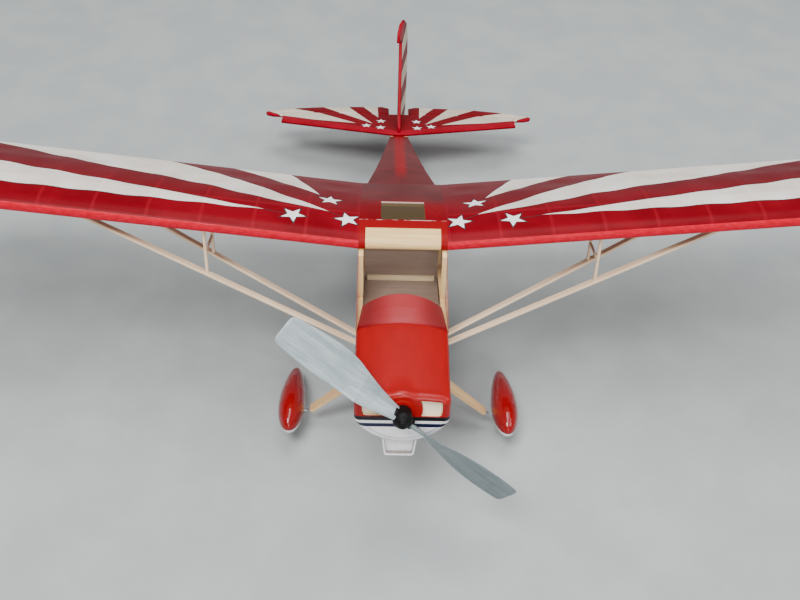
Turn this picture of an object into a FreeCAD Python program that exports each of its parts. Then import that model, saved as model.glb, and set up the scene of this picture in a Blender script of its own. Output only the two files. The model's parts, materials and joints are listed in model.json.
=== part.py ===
import FreeCAD, Part
import math
import os
from FreeCAD import Vector

# Rubber-powered balsa cabin monoplane, all lengths in millimetres.
# It is drawn in a level frame: x towards the aircraft's own left wing, y aft from the cowl
# face, z up from a level datum just under the thrust line. Paired pieces are drawn on the left,
# at +x, and mirrored. At the end the whole model is tipped nose-up onto its three wheels and
# centred over the origin.

# Driving dimensions ---------------------------------------------------------------------------
SPAN = 762.0                 # 30 in wing span
CHORD = 111.0
DIHEDRAL = 5.85              # degrees, each panel
INCIDENCE = 2.05             # degrees, wing leading edge up
CABIN_HALF = 29.5            # half of the cabin width, outside the film
STICK = 3.0                  # square balsa strip
FILM = 0.3                   # covering film, thickened so that it is a solid
GAP = 0.02                   # slack round a wire in a glued hole

WING_LE_Y = 105.0
WING_BOTTOM_Z = 53.0
RIB_PITCH = 34.4
RIB_COUNT = 9
RIB_THICK = 1.6
TRAILING_THICK = 1.0
TIP_CURVE = 42.0             # length of the rounded wing tip
TIP_SQUASH = 0.3             # wing tip depth over wing depth
TIP_EDGE = 1.4               # depth that the tip bow adds all along the tip
SPAR_CHORD_AT = 27.0
REAR_SPAR_AT = 70.0

COWL_LENGTH = 58.0
COWL_WALL = 0.8
BOSS_RADIUS = 12.0
THRUST_Z = 3.5               # propeller shaft, boss, rubber motor and peg share this height
CABIN_REAR_Y = 216.0         # wing trailing edge station
STAB_SEAT_Y = 387.0
TAIL_POST_Y = 446.0
SEAT_Z = 19.9                # top of the fuselage under the stabilizer

SHEET_HALF = 25.0            # half width of the bare front sheet
SHEET_DEPTH = 10.3
SKYLIGHT_HALF = 15.0
SKYLIGHT_FRONT = 20.6
SKYLIGHT_REAR = 53.5

TAIL_THICK = 3.0             # stabilizer, fin, elevator and rudder over the film
TAIL_CORE = TAIL_THICK - 2 * FILM
STAB_Z = SEAT_Z + TAIL_THICK / 2
STAB_HALF = 113.0
STAB_TE_Y = 437.7
ELEVATOR_HINGE_Y = 438.5
ELEVATOR_LE_Y = 439.3
FIN_TOP_Z = 93.0
RUDDER_HINGE_Y = 446.8
RUDDER_LE_Y = 447.6
RUDDER_REST = 14.0           # degrees, the rudder stands over as it is stored

WHEEL_R = 14.0
WHEEL_WIDTH = 6.0
WHEEL_Y = 93.0
WHEEL_Z = -73.0
HALF_TRACK = 76.3
PANT_Z = -67.0               # centre line of the wheel pants
PANT_SLIM = 8.0 / 12.0       # pant width over pant height
AXLE_R = 0.8
AXLE_SLACK = 0.05
TAIL_WHEEL_R = 7.0
TAIL_WHEEL_WIDTH = 2.6
TAIL_WHEEL_Y = 452.0
TAIL_WHEEL_Z = -11.0
TAIL_WIRE_R = 0.6

PROP_R = 91.5
PROP_Y = -7.3
PROP_ANGLE = 40.8            # degrees, the raised blade above the horizon at rest
PROP_PITCH = 200.0
SHAFT_R = 0.6
SHAFT_SLACK = 0.05
PLUG_R = 6.0
PLUG_SLACK = 0.05
MOTOR_ROOM_R = 9.0           # holes in the formers that the rubber turns in
FLOOR_Z = 8.3                # underside of the cabin floor
CABIN_WALL_Y = 143.0         # front face of the wall behind the cabin
FORMER = 1.2                 # thin sheet formers
HOOK_Y = 20.2
HOOK_R = 3.2
STRAND_R = 1.0
STRAND_Z = 3.0               # height of each rubber run off the thrust line
MOTOR_MIDDLE_Y = 182.0       # where the front half of the motor meets the rear half
PEG_Y = 340.0
PEG_R = 1.9
PEG_BORE_R = 1.2
PEG_LENGTH = 32.0
PEG_SLACK = 0.05

STRUT_OUT_X = 238.0
FRONT_STRUT = (Vector(CABIN_HALF, 95.0, -14.5), 130.0)     # inner end, outer y
REAR_STRUT = (Vector(CABIN_HALF, 101.0, -11.0), 177.0)
JURY_X = 132.0

SCRAP = 4.0                  # offcuts below this volume are swept away
BIG = 500.0                  # larger than any part, for half-space cutters

# Nodes drawn about the y axis, then lifted to the thrust line
THRUST_LINE = ("nose_plug", "thrust_bearing", "prop_shaft", "propeller_hub", "propeller_blades",
               "rubber_motor_front", "rubber_motor_rear", "motor_peg")

# Outlines in the side view (y, z) and the plan view (y, half width) -----------------------------
SIDE_BOTTOM = [(58, -31), (100, -33), (200, -29), (300, -18), (TAIL_POST_Y, -0.5)]
SIDE_TOP = [(TAIL_POST_Y, SEAT_Z), (STAB_SEAT_Y, SEAT_Z), (CABIN_REAR_Y, 49.0), (WING_LE_Y, 53.0),
            (58, 21.0)]
SILL = [(58, 18.5), (CABIN_REAR_Y, 12.5)]
PLAN = [(58, CABIN_HALF), (180, CABIN_HALF), (CABIN_REAR_Y, 26.5), (281, 18.0), (371, 9.6),
        (TAIL_POST_Y, 3.3)]
UPRIGHT_Y = [59.5, 103.0, 153.0, 214.5, 262.0, 308.0, 356.0, 404.0, 444.5]
WINDOWS = [
    [(61, 21.8), (104.6, 52.2), (104.6, 21.8)],
    [(106.5, 50.5), (151, 49), (151, 16.5), (106.5, 18.5)],
    [(155, 48.6), (198, 47.0), (155, 19)],
]


# Small tools -----------------------------------------------------------------------------------
def prism(points, direction):
    """Straight prism on a closed polygon."""
    return Part.Face(Part.makePolygon(points + [points[0]])).extrude(direction)


def prism_x(yz, x0, x1):
    return prism([Vector(x0, y, z) for y, z in yz], Vector(x1 - x0, 0, 0))


def prism_z(xy, z0, z1):
    return prism([Vector(x, y, z0) for x, y in xy], Vector(0, 0, z1 - z0))


def box(x0, x1, y0, y1, z0, z1):
    return Part.makeBox(x1 - x0, y1 - y0, z1 - z0, Vector(x0, y0, z0))


def rod(start, end, radius):
    return Part.makeCylinder(radius, (end - start).Length, start, end - start)


def wire_form(points, radius):
    """Bent wire: straight runs with a ball at each bend."""
    body = rod(points[0], points[1], radius)
    for here, onward in zip(points[1:-1], points[2:]):
        body = body.fuse([Part.makeSphere(radius, here), rod(here, onward, radius)])
    return body.removeSplitter()


def strip(start, end, across, width, thick):
    """Flat strip of width along the vector across, centred on the line start to end."""
    along = end - start
    side = (across - along * (across.dot(along) / along.dot(along))).normalize()
    up = along.cross(side).normalize()
    half, lift = side * (width / 2), up * (thick / 2)
    corners = [start + half + lift, start - half + lift, start - half - lift, start + half - lift]
    return prism(corners, along)


def stick_polygon(p, q, width=STICK, inset=0.0):
    """Rectangle round the line p to q in a plane; inset shifts it to the line's left."""
    length = math.hypot(q[0] - p[0], q[1] - p[1])
    nx, nz = -(q[1] - p[1]) / length, (q[0] - p[0]) / length
    near, far = inset - width / 2, inset + width / 2
    return [(p[0] + nx * near, p[1] + nz * near), (q[0] + nx * near, q[1] + nz * near),
            (q[0] + nx * far, q[1] + nz * far), (p[0] + nx * far, p[1] + nz * far)]


def fused(shapes):
    return shapes[0].fuse(shapes[1:]).removeSplitter() if len(shapes) > 1 else shapes[0]


def without(shape, cutters):
    for cutter in cutters:
        shape = shape.cut(cutter)
    return shape


def together(shapes):
    """Separate solids that share one node."""
    solids = [solid for shape in shapes for solid in shape.Solids if solid.Volume > SCRAP]
    return Part.makeCompound(solids)


def mirrored(shape):
    return shape.mirror(Vector(0, 0, 0), Vector(1, 0, 0))


def between(table, y):
    """Linear reading of a (y, value) table in either direction."""
    rows = sorted(table)
    for (y0, v0), (y1, v1) in zip(rows, rows[1:]):
        if y <= y1:
            return v0 + (v1 - v0) * (y - y0) / (y1 - y0)
    return rows[-1][1]


def wing_bottom(x, y):
    """Height of the flat underside of the wing."""
    rise = max(abs(x) - CABIN_HALF, 0) * math.tan(math.radians(DIHEDRAL))
    return WING_BOTTOM_Z + rise - (y - WING_LE_Y) * math.tan(math.radians(INCIDENCE))


# Wing ------------------------------------------------------------------------------------------
def section_height(u):
    """Upper surface height over the flat bottom, at the chord fraction u."""
    def thickness(v):
        return 0.2969 * math.sqrt(v) - 0.126 * v - 0.3516 * v**2 + 0.2843 * v**3 - 0.1015 * v**4
    arch = 0.11 * thickness(u) / thickness(0.3) + 0.032 * (1 - u)**4
    return CHORD * arch + TRAILING_THICK * u


def section_wire(span_at, inset, squash):
    """Wing section in panel axes (span, chord, height), inset all round by the film."""
    upper = []
    lift = (1 - squash) * TIP_EDGE
    for u in (0.0, 0.008, 0.03, 0.07, 0.14, 0.25, 0.4, 0.58, 0.78, 1.0):
        slope = (section_height(min(u + 0.01, 1)) - section_height(max(u - 0.01, 0))) / (0.02 * CHORD)
        drop = inset * math.sqrt(1 + min(abs(slope), 1.0)**2)
        chord_at = inset + u * (CHORD - 2 * inset)
        upper.append(Vector(span_at, chord_at, squash * section_height(u) + lift - drop))
    curve = Part.BSplineCurve()
    curve.interpolate(upper)
    nose_low = Vector(span_at, 3.0 + inset, inset)
    nose_mid = Vector(span_at, 0.9 + inset, inset + 0.9 * squash)
    tail_low = Vector(span_at, CHORD - inset, inset)
    nose = Part.Arc(nose_low, nose_mid, upper[0]).toShape()
    return Part.Wire([curve.toShape(), Part.makeLine(upper[-1], tail_low),
                      Part.makeLine(tail_low, nose_low), nose])


def panel_length():
    return (SPAN / 2 - CABIN_HALF) / math.cos(math.radians(DIHEDRAL))


def plan_prism(inset, tip_inset):
    """Plan form of a wing panel with its rounded tip, as a tall prism."""
    tip = panel_length() - tip_inset
    start = panel_length() - TIP_CURVE
    half = CHORD / 2 - inset + 0.05
    points = []
    for step in range(11):
        angle = math.radians(-90 + 18 * step)
        reach = max(math.cos(angle), 0.0)**0.75
        points.append(Vector(start + (tip - start) * reach, CHORD / 2 + half * math.sin(angle), -20))
    curve = Part.BSplineCurve()
    curve.interpolate(points)
    low, high = Vector(-20, CHORD / 2 - half, -20), Vector(-20, CHORD / 2 + half, -20)
    edges = [Part.makeLine(low, points[0]), curve.toShape(), Part.makeLine(points[-1], high),
             Part.makeLine(high, low)]
    return Part.Face(Part.Wire(edges)).extrude(Vector(0, 0, 60))


def panel_solid(inset, root):
    """A whole wing panel, solid, from the span station root to the tip."""
    straight = panel_length() - TIP_CURVE
    wires = [section_wire(root, inset, 1.0), section_wire(straight, inset, 1.0),
             section_wire(panel_length(), inset, TIP_SQUASH)]
    return Part.makeLoft(wires, True, True).common(plan_prism(inset, inset))


def wing_panel():
    """The four nodes of the panel on the +x side, in panel axes."""
    outer = panel_solid(0.0, -3.0)
    inner = panel_solid(FILM, -6.0)
    length = panel_length()
    leading = inner.common(box(-3, length, 0, 7, -1, 20))
    trailing = inner.common(box(-3, length, CHORD - 14, CHORD, -1, 20))
    rim = inner.cut(plan_prism(7.0, 7.0)).common(box(length - TIP_CURVE, length, 0, CHORD, -1, 20))
    bow = without(rim, [leading, trailing])
    spars = []
    for chord_at in (SPAR_CHORD_AT, REAR_SPAR_AT):
        top = section_height(chord_at / CHORD)
        reach = length - TIP_CURVE
        upper = box(-3, reach, chord_at, chord_at + STICK, top - STICK - 1, top + 2)
        lower = box(-3, reach, chord_at, chord_at + STICK, -1, STICK)
        spars += [inner.common(upper), inner.common(lower)]
    taken = [leading, trailing, bow] + spars
    stations = [RIB_THICK / 2 + 0.2] + [1.6 + RIB_PITCH * n for n in range(1, RIB_COUNT + 1)]
    ribs = []
    for station in stations:
        slab = box(station - RIB_THICK / 2, station + RIB_THICK / 2, 0, CHORD, -1, 20)
        ribs.append(without(inner.common(slab), taken))
    pieces = {
        "wing_ribs": together(ribs),
        "wing_spars": together(spars),
        "wing_edges": together([leading, trailing, bow]),
        "wing_covering": together([outer.cut(inner)]),
    }
    return {name: on_the_wing(shape) for name, shape in pieces.items()}


def set_on_cabin(shape):
    """Panel axes to the level frame at the cabin roof: incidence, then place."""
    turned = shape.copy()
    turned.rotate(Vector(0, 0, 0), Vector(1, 0, 0), -INCIDENCE)
    turned.translate(Vector(0, WING_LE_Y, WING_BOTTOM_Z))
    return turned


def on_the_wing(shape):
    """Panel axes to the level frame: incidence, dihedral, and a root cut flush with the cabin."""
    turned = shape.copy()
    turned.rotate(Vector(0, 0, 0), Vector(1, 0, 0), -INCIDENCE)
    turned.rotate(Vector(0, 0, 0), Vector(0, 1, 0), -DIHEDRAL)
    turned.translate(Vector(CABIN_HALF, WING_LE_Y, WING_BOTTOM_Z))
    return together([turned.common(box(CABIN_HALF, BIG, 0, BIG, 0, BIG))])


def centre_section():
    """Cabin roof between the wing panels: frame, bare front sheet, film and skylight."""
    def block(inset):
        wire = section_wire(-CABIN_HALF, inset, 1.0)
        return Part.Face(wire).extrude(Vector(2 * CABIN_HALF, 0, 0))
    outer, inner = block(0.0), block(FILM)
    sheet_zone = box(-SHEET_HALF, SHEET_HALF, -1, SHEET_DEPTH, -1, 20)
    sheet = outer.common(sheet_zone)
    skin = outer.cut(inner).common(box(-BIG, BIG, -1, CHORD, 0.9, 20))
    window_zone = box(-SKYLIGHT_HALF, SKYLIGHT_HALF, SKYLIGHT_FRONT, SKYLIGHT_REAR, 3, 20)
    skylight = skin.common(window_zone)
    film = skin.cut(sheet_zone).cut(window_zone)
    rib = box(26.2, CABIN_HALF - FILM, 0, CHORD, 0.5, 20)
    ribs = [inner.common(shape).cut(sheet_zone) for shape in (rib, mirrored(rib))]
    beams = []
    for chord_at in (SKYLIGHT_FRONT - STICK, SKYLIGHT_REAR, 80.0, CHORD - 8):
        top = section_height(chord_at / CHORD)
        beam = box(-26.2, 26.2, chord_at, chord_at + STICK, max(top - STICK - 0.6, 0.5), 20)
        beams.append(inner.common(beam))
    rails = []
    for side in (-1, 1):
        near, far = sorted((side * SKYLIGHT_HALF, side * (SKYLIGHT_HALF + STICK)))
        rail = inner.common(box(near, far, SKYLIGHT_FRONT, SKYLIGHT_REAR, 0.5, 20))
        rails.append(rail.cut(panel_underside(5.0)))
    return {
        "centre_section_frame": set_on_cabin(together(ribs + beams + rails)),
        "centre_front_sheet": set_on_cabin(together([sheet])),
        "centre_section_covering": set_on_cabin(together([film])),
        "skylight": set_on_cabin(together([skylight])),
    }


def panel_underside(depth):
    """Everything more than depth below the upper surface between the skylight beams."""
    line = []
    for chord_at in (SKYLIGHT_FRONT, 37.0, SKYLIGHT_REAR):
        line.append((chord_at, section_height(chord_at / CHORD) - depth))
    return prism_x(line + [(SKYLIGHT_REAR, -5), (SKYLIGHT_FRONT, -5)], -BIG, BIG)


# Fuselage --------------------------------------------------------------------------------------
def side_region():
    return prism_x(SIDE_BOTTOM + SIDE_TOP, -BIG, BIG)


def plan_region(inset):
    """Plan form of the fuselage box, straight along the cabin and curving in to the tail post."""
    aft = [Vector(max(half - inset, 0.5), y, -100) for y, half in PLAN[1:]]
    curve = Part.BSplineCurve()
    curve.interpolate(aft, InitialTangent=Vector(0, 1, 0), FinalTangent=Vector(-0.08, 1, 0))
    nose = Vector(CABIN_HALF - inset, PLAN[0][0], -100)
    tail_mid, nose_mid = Vector(0, TAIL_POST_Y, -100), Vector(0, PLAN[0][0], -100)
    edges = [Part.makeLine(nose, aft[0]), curve.toShape(), Part.makeLine(aft[-1], tail_mid),
             Part.makeLine(tail_mid, nose_mid), Part.makeLine(nose_mid, nose)]
    half = Part.Face(Part.Wire(edges)).extrude(Vector(0, 0, 200))
    return half.fuse(mirrored(half)).removeSplitter()


def half_width(y):
    return between(PLAN, y)


def side_frame():
    """Longerons, uprights, diagonals and peg plate of the side on +x."""
    band = plan_region(FILM).cut(plan_region(FILM + STICK)).common(box(0, BIG, 0, BIG, -BIG, BIG))
    region = side_region()
    runs = []
    for line, shift in ((SIDE_BOTTOM, STICK / 2), (SIDE_TOP[:4], STICK / 2), (SILL, 0.0)):
        for p, q in zip(line, line[1:]):
            runs.append(prism_x(stick_polygon(p, q, STICK, shift), 0, BIG))
    longerons = fused([run.common(region) for run in runs])
    peg_plate = box(0, BIG, PEG_Y - 9, PEG_Y + 9, -30, 60)
    heads = [SILL[0][1]] + [60.0] * (len(UPRIGHT_Y) - 1)
    uprights = []
    for y, head in zip(UPRIGHT_Y, heads):
        uprights.append(prism_x(stick_polygon((y, -40), (y, head)), 0, BIG))
    diagonals = []
    for index, (near, far) in enumerate(zip(UPRIGHT_Y[3:-1], UPRIGHT_Y[4:])):
        low, high = (near, far) if index % 2 else (far, near)
        ends = ((low, between(SIDE_BOTTOM, low)), (high, between(SIDE_TOP, high)))
        diagonals.append(prism_x(stick_polygon(*ends), 0, BIG))
    placed = [longerons]
    for piece in uprights + [peg_plate] + diagonals:
        placed.append(without(piece.common(region), placed))
    return together([piece.common(band).cut(peg_hole()) for piece in placed])


def peg_hole():
    return rod(Vector(-50, PEG_Y, THRUST_Z), Vector(50, PEG_Y, THRUST_Z), PEG_R + PEG_SLACK)


def window_prisms():
    return [prism_x(points, -BIG, BIG) for points in WINDOWS]


def fuselage_skin():
    """Side films, clear cabin windows, belly film and rear deck film."""
    shell = plan_region(0.0).cut(plan_region(FILM)).common(side_region())
    left = shell.common(box(0, BIG, 0, BIG, -BIG, BIG)).cut(peg_hole())
    panes = [left.common(window) for window in window_prisms()]
    film = without(left, window_prisms())
    lower = [(y, z - FILM) for y, z in reversed(SIDE_BOTTOM)]
    belly = prism_x(SIDE_BOTTOM + lower, -BIG, BIG).common(plan_region(0.0))
    return film, together(panes + [mirrored(pane) for pane in panes]), belly


def deck_section(y, crown, sink):
    """Flat triangle across the rear deck, sink below the outer surface."""
    half, side = half_width(y), between(SIDE_TOP, y)
    return Part.makePolygon([Vector(-half, y, side - sink), Vector(0, y, side + crown - sink),
                             Vector(half, y, side - sink), Vector(-half, y, side - sink)])


def rear_deck():
    """Shallow ridged film on the deck behind the wing, and the stringer under its ridge."""
    stations = [(CABIN_REAR_Y + 0.5, 1.2), (262, 3.0), (308, 3.2), (345, 2.4), (STAB_SEAT_Y - 0.5, 0.9)]
    outer = Part.makeLoft([deck_section(y, crown, 0.0) for y, crown in stations], True, True)
    below = outer.copy()
    below.translate(Vector(0, 0, -FILM))
    ridge = box(-STICK / 2, STICK / 2, 0, BIG, 0, 60)
    stringer = outer.common(below).common(ridge)
    return outer.cut(below), stringer


def cross_members():
    """Cross pieces between the sides, the undercarriage plate and the tail post."""
    pieces = []
    inner = plan_region(FILM + STICK)
    for y in UPRIGHT_Y[1:-2]:
        floor = between(SIDE_BOTTOM, y)
        pieces.append(box(-BIG, BIG, y - STICK / 2, y + STICK / 2, floor + 0.4, floor + STICK))
    for y in UPRIGHT_Y[4:-2]:
        roof = between(SIDE_TOP, y)
        pieces.append(box(-BIG, BIG, y - STICK / 2, y + STICK / 2, roof - STICK - 0.8, roof - 0.9))
    floor = between(SIDE_BOTTOM, 90) + 0.9
    pieces.append(box(-BIG, BIG, 84, 97, floor, floor + 2.4))
    trimmed = [piece.common(inner) for piece in pieces]
    post = box(-BIG, BIG, TAIL_POST_Y - STICK, TAIL_POST_Y, 0.2, SEAT_Z - 0.1)
    saddle = box(-BIG, BIG, STAB_SEAT_Y + 3, STAB_SEAT_Y + 14, SEAT_Z - 2.4, SEAT_Z - 0.05)
    return trimmed + [post.common(inner), saddle.common(inner)]


def arch(y, half, side_z, crown_z):
    """Arc edge across the fuselage."""
    return Part.Arc(Vector(-half, y, side_z), Vector(0, y, crown_z), Vector(half, y, side_z)).toShape()


def cabin_inside():
    """Firewall, dash former, cabin floor and rear wall, and a deck former behind the cabin."""
    inner = plan_region(FILM + STICK)
    bore = rod(Vector(0, 0, THRUST_Z), Vector(0, BIG, THRUST_Z), MOTOR_ROOM_R)
    floor_top = FLOOR_Z + FORMER
    firewall = box(-BIG, BIG, 58.2, 60.6, -30.6, 19.0).common(inner).cut(bore)
    low_left, low_right = Vector(25.6, 80, floor_top + 0.1), Vector(-25.6, 80, floor_top + 0.1)
    dash_top = Part.Face(Part.Wire([arch(80.0, 25.6, 22.9, 32.9),
                                    Part.makeLine(Vector(25.6, 80, 22.9), low_left),
                                    Part.makeLine(low_left, low_right),
                                    Part.makeLine(low_right, Vector(-25.6, 80, 22.9))]))
    dash = dash_top.extrude(Vector(0, 1.4, 0))
    floor = box(-BIG, BIG, 60.8, CABIN_WALL_Y + 2, FLOOR_Z, floor_top).common(inner)
    wall = box(-BIG, BIG, CABIN_WALL_Y, CABIN_WALL_Y + 2, floor_top + 0.1, 44.0).common(inner)
    foot = (CABIN_WALL_Y - 3.5, CABIN_WALL_Y - 0.1, floor_top + 0.1, floor_top + 2.8)
    strip_at_wall = box(-24, 24, *foot).common(inner)
    rear = box(-BIG, BIG, 217.0, 219.4, -24.0, 44.0).common(inner).cut(bore)
    return [firewall, dash, floor, wall, strip_at_wall, rear]


def dash_coaming():
    """Thin curved deck from the foot of the windscreen back to the dash."""
    sheet = Part.makeRuledSurface(arch(60.8, 28.6, 21.0, 27.2), arch(81.4, 26.0, 24.4, 34.4))
    return sheet.extrude(Vector(0, 0, -0.5))


def windscreen():
    """Clear sheet from the cowl up to the bare front sheet of the wing."""
    base = Part.Arc(Vector(-29.1, 60.4, 22.1), Vector(0, 57.6, 28.0), Vector(29.1, 60.4, 22.1)).toShape()
    head = Part.makeLine(Vector(-29.1, 104.5, 52.7), Vector(29.1, 104.5, 52.7))
    return Part.makeRuledSurface(base, head).extrude(Vector(0, -0.25, 0.35))


# Nose ------------------------------------------------------------------------------------------
def cowl_section(y, half, corner, crown, shoulder, bottom, inset):
    """Closed cowl section: crowned top, straight sides, round belly."""
    half, corner, crown, bottom = half - inset, corner - inset, crown - inset, bottom + inset
    left_top, left_low = Vector(half, y, corner), Vector(half, y, shoulder)
    right_top, right_low = Vector(-half, y, corner), Vector(-half, y, shoulder)
    return Part.Wire([Part.Arc(right_top, Vector(0, y, crown), left_top).toShape(),
                      Part.makeLine(left_top, left_low),
                      Part.Arc(left_low, Vector(0, y, bottom), right_low).toShape(),
                      Part.makeLine(right_low, right_top)])


def cowl_body(inset, start):
    """Solid cowl form; start moves its front face aft."""
    rows = [(start, 26.3, 7.6, 10.6, -4.5, -17.0), (start + 1.5, 28.0, 9.2, 12.2, -4.0, -18.8),
            (start + 4.5, 28.6, 10.6, 13.8, -4.5, -20.0), (30, 29.2, 16.4, 20.6, -16.0, -26.0),
            (COWL_LENGTH, CABIN_HALF, 21.4, 27.2, -28.5, -31.0)]
    return Part.makeLoft([cowl_section(*row, inset) for row in rows], True, True)


def cowl():
    """Thin moulded cowl with its round boss, two inlets and the plug hole."""
    outer, inner = cowl_body(0.0, 0.0), cowl_body(COWL_WALL, COWL_WALL)
    boss = Part.makeCone(BOSS_RADIUS, BOSS_RADIUS - 0.5, 30, Vector(0, 0, THRUST_Z), Vector(0, 1, 0))
    boss_core = Part.makeCone(BOSS_RADIUS - COWL_WALL, BOSS_RADIUS - COWL_WALL - 0.5, 40,
                              Vector(0, COWL_WALL, THRUST_Z), Vector(0, 1, 0))
    tail = inner.common(box(-BIG, BIG, 40, BIG, -BIG, BIG))
    tail.translate(Vector(0, 0.5, 0))
    hollow = inner.fuse([boss_core, tail])
    shell = outer.fuse(boss).cut(hollow).cut(box(-BIG, BIG, COWL_LENGTH, BIG, -BIG, BIG))
    boss_zone = rod(Vector(0, -2, THRUST_Z), Vector(0, 9, THRUST_Z), BOSS_RADIUS)
    inlet = box(10.0, 24.0, -1, 2.2, -2.7, 9.3).cut(boss_zone)
    plug_hole = rod(Vector(0, -2, THRUST_Z), Vector(0, 3, THRUST_Z), PLUG_R + 0.3)
    return together([without(shell, [inlet, mirrored(inlet), plug_hole])]), hollow


def nose_block(hollow):
    """Balsa block behind the cowl face, with the seat for the nose plug."""
    slab = box(-27.6, 27.6, 3.0, 10.0, -18.5, 12.5)
    seat = rod(Vector(0, 0, THRUST_Z), Vector(0, 20, THRUST_Z), PLUG_R + PLUG_SLACK)
    return slab.common(hollow).cut(seat)


def cowl_scoop(cowl_outer):
    """Small box scoop under the nose, open in front and fairing back into the belly."""
    outline = [(3.0, -16.0), (3.6, -35.8), (16.0, -35.2), (34.0, -26.5), (34.0, -16.0)]
    body = prism_x(outline, -9.2, 9.2)
    mouth = box(-7.8, 7.8, 1.0, 11.0, -34.4, -23.4)
    return body.cut(cowl_outer).cut(mouth)


def nose_plug():
    """Plug with a flange that seats on the cowl boss, bored for the thrust bearing."""
    flange = rod(Vector(0, -1.4, 0), Vector(0, -0.05, 0), 7.2)
    body = rod(Vector(0, -0.05, 0), Vector(0, 12, 0), PLUG_R)
    bore = rod(Vector(0, -3, 0), Vector(0, 20, 0), 1.5)
    return flange.fuse(body).removeSplitter().cut(bore)


def thrust_bearing():
    """Flanged brass tube that the propeller shaft turns in."""
    tube = rod(Vector(0, -1.4, 0), Vector(0, 12.6, 0), 1.5)
    face = rod(Vector(0, -2.2, 0), Vector(0, -1.4, 0), 2.6)
    bore = rod(Vector(0, -3, 0), Vector(0, 20, 0), SHAFT_R + SHAFT_SLACK)
    return tube.fuse(face).removeSplitter().cut(bore)


def prop_shaft():
    """Wire shaft with a ring hook on its inner end."""
    shaft = rod(Vector(0, -14.0, 0), Vector(0, HOOK_Y - HOOK_R, 0), SHAFT_R)
    ring = Part.makeTorus(HOOK_R, SHAFT_R, Vector(0, HOOK_Y, 0), Vector(0, 0, 1))
    return shaft.fuse(ring)


def rubber_half(loop_y, far_y, loop_sign):
    """Two runs of rubber joined by a half turn; loop_sign is -1 where the loop faces forward."""
    ring = Part.makeTorus(STRAND_Z, STRAND_R, Vector(0, loop_y, 0), Vector(1, 0, 0))
    low, high = sorted((loop_y, loop_y + loop_sign * 20))
    turn = ring.common(box(-5, 5, low, high, -10, 10))
    runs = [rod(Vector(0, loop_y, z), Vector(0, far_y, z), STRAND_R) for z in (STRAND_Z, -STRAND_Z)]
    return turn.fuse(runs).removeSplitter()


def motor_peg():
    """Tube across the fuselage that the rubber loops round; its bore takes a holding pin."""
    ends = Vector(-PEG_LENGTH / 2, PEG_Y, 0), Vector(PEG_LENGTH / 2, PEG_Y, 0)
    return rod(*ends, PEG_R).cut(rod(*ends, PEG_BORE_R))


def blade_section(radius, chord, thick):
    """Lens-shaped blade section at one radius of the blade that points along +x."""
    pitch = min(math.atan(PROP_PITCH / (2 * math.pi * radius)), math.radians(62))
    along = Vector(0, math.sin(pitch), -math.cos(pitch))
    normal = Vector(0, -math.cos(pitch), -math.sin(pitch))
    centre = Vector(radius, PROP_Y, 0)
    near, far = centre - along * (chord / 2), centre + along * (chord / 2)
    front = Part.Arc(near, centre + normal * (thick * 0.75), far).toShape()
    back = Part.Arc(far, centre - normal * (thick * 0.25), near).toShape()
    return Part.Wire([front, back])


def propeller():
    """Black hub and the two twisted blades, at the angle they are stored."""
    rows = [(4.0, 6.0, 3.4), (9.0, 8.6, 3.0), (20.0, 13.5, 2.2), (33.0, 19.0, 1.8), (50.0, 23.2, 1.5),
            (65.0, 23.4, 1.3), (78.0, 20.6, 1.2), (PROP_R, 15.0, 1.0)]
    blade = Part.makeLoft([blade_section(*row) for row in rows], True, True)
    outline = [Vector(0, -15.0, 0), Vector(2.2, -15.0, 0), Vector(2.7, -14.2, 0), Vector(3.4, -12.6, 0),
               Vector(5.3, -11.2, 0), Vector(5.3, -2.4, 0), Vector(0, -2.4, 0)]
    half_profile = Part.Face(Part.makePolygon(outline + [outline[0]]))
    hub = half_profile.revolve(Vector(0, 0, 0), Vector(0, 1, 0), 360)
    socket = rod(Vector(-8.2, PROP_Y, 0), Vector(8.2, PROP_Y, 0), 3.3)
    hub = hub.fuse(socket).removeSplitter()
    opposite = blade.copy()
    opposite.rotate(Vector(0, 0, 0), Vector(0, 1, 0), 180)
    blades = [blade.cut(hub), opposite.cut(hub)]
    hub = hub.cut(rod(Vector(0, -20, 0), Vector(0, 0, 0), SHAFT_R + GAP))
    turned = {}
    for name, shape in (("propeller_hub", hub), ("propeller_blades", together(blades))):
        turned[name] = shape.copy()
        turned[name].rotate(Vector(0, 0, 0), Vector(0, 1, 0), PROP_ANGLE)
    return turned


# Undercarriage and struts ----------------------------------------------------------------------
def gear_wire(radius):
    """Undercarriage leg and axle, bent from one wire."""
    points = [Vector(17, 90.5, -30), Vector(62, 92.6, -71), Vector(66, WHEEL_Y, WHEEL_Z),
              Vector(HALF_TRACK + 7.4, WHEEL_Y, WHEEL_Z)]
    return wire_form(points, radius)


def leg_fairing():
    """Tapered balsa strip along the undercarriage leg."""
    top, foot = Vector(21.4, 90.7, -34.8), Vector(62.5, 92.6, -71.2)
    along = (foot - top).normalize()
    lift = along.cross(Vector(0, 1, 0)).normalize() * 1.3
    wires = []
    for centre, chord in ((top, 12.0), (foot, 6.5)):
        half = Vector(0, chord / 2, 0)
        corners = [centre + half + lift, centre - half + lift, centre - half - lift, centre + half - lift]
        wires.append(Part.makePolygon(corners + [corners[0]]))
    return Part.makeLoft(wires, True, True)


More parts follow.
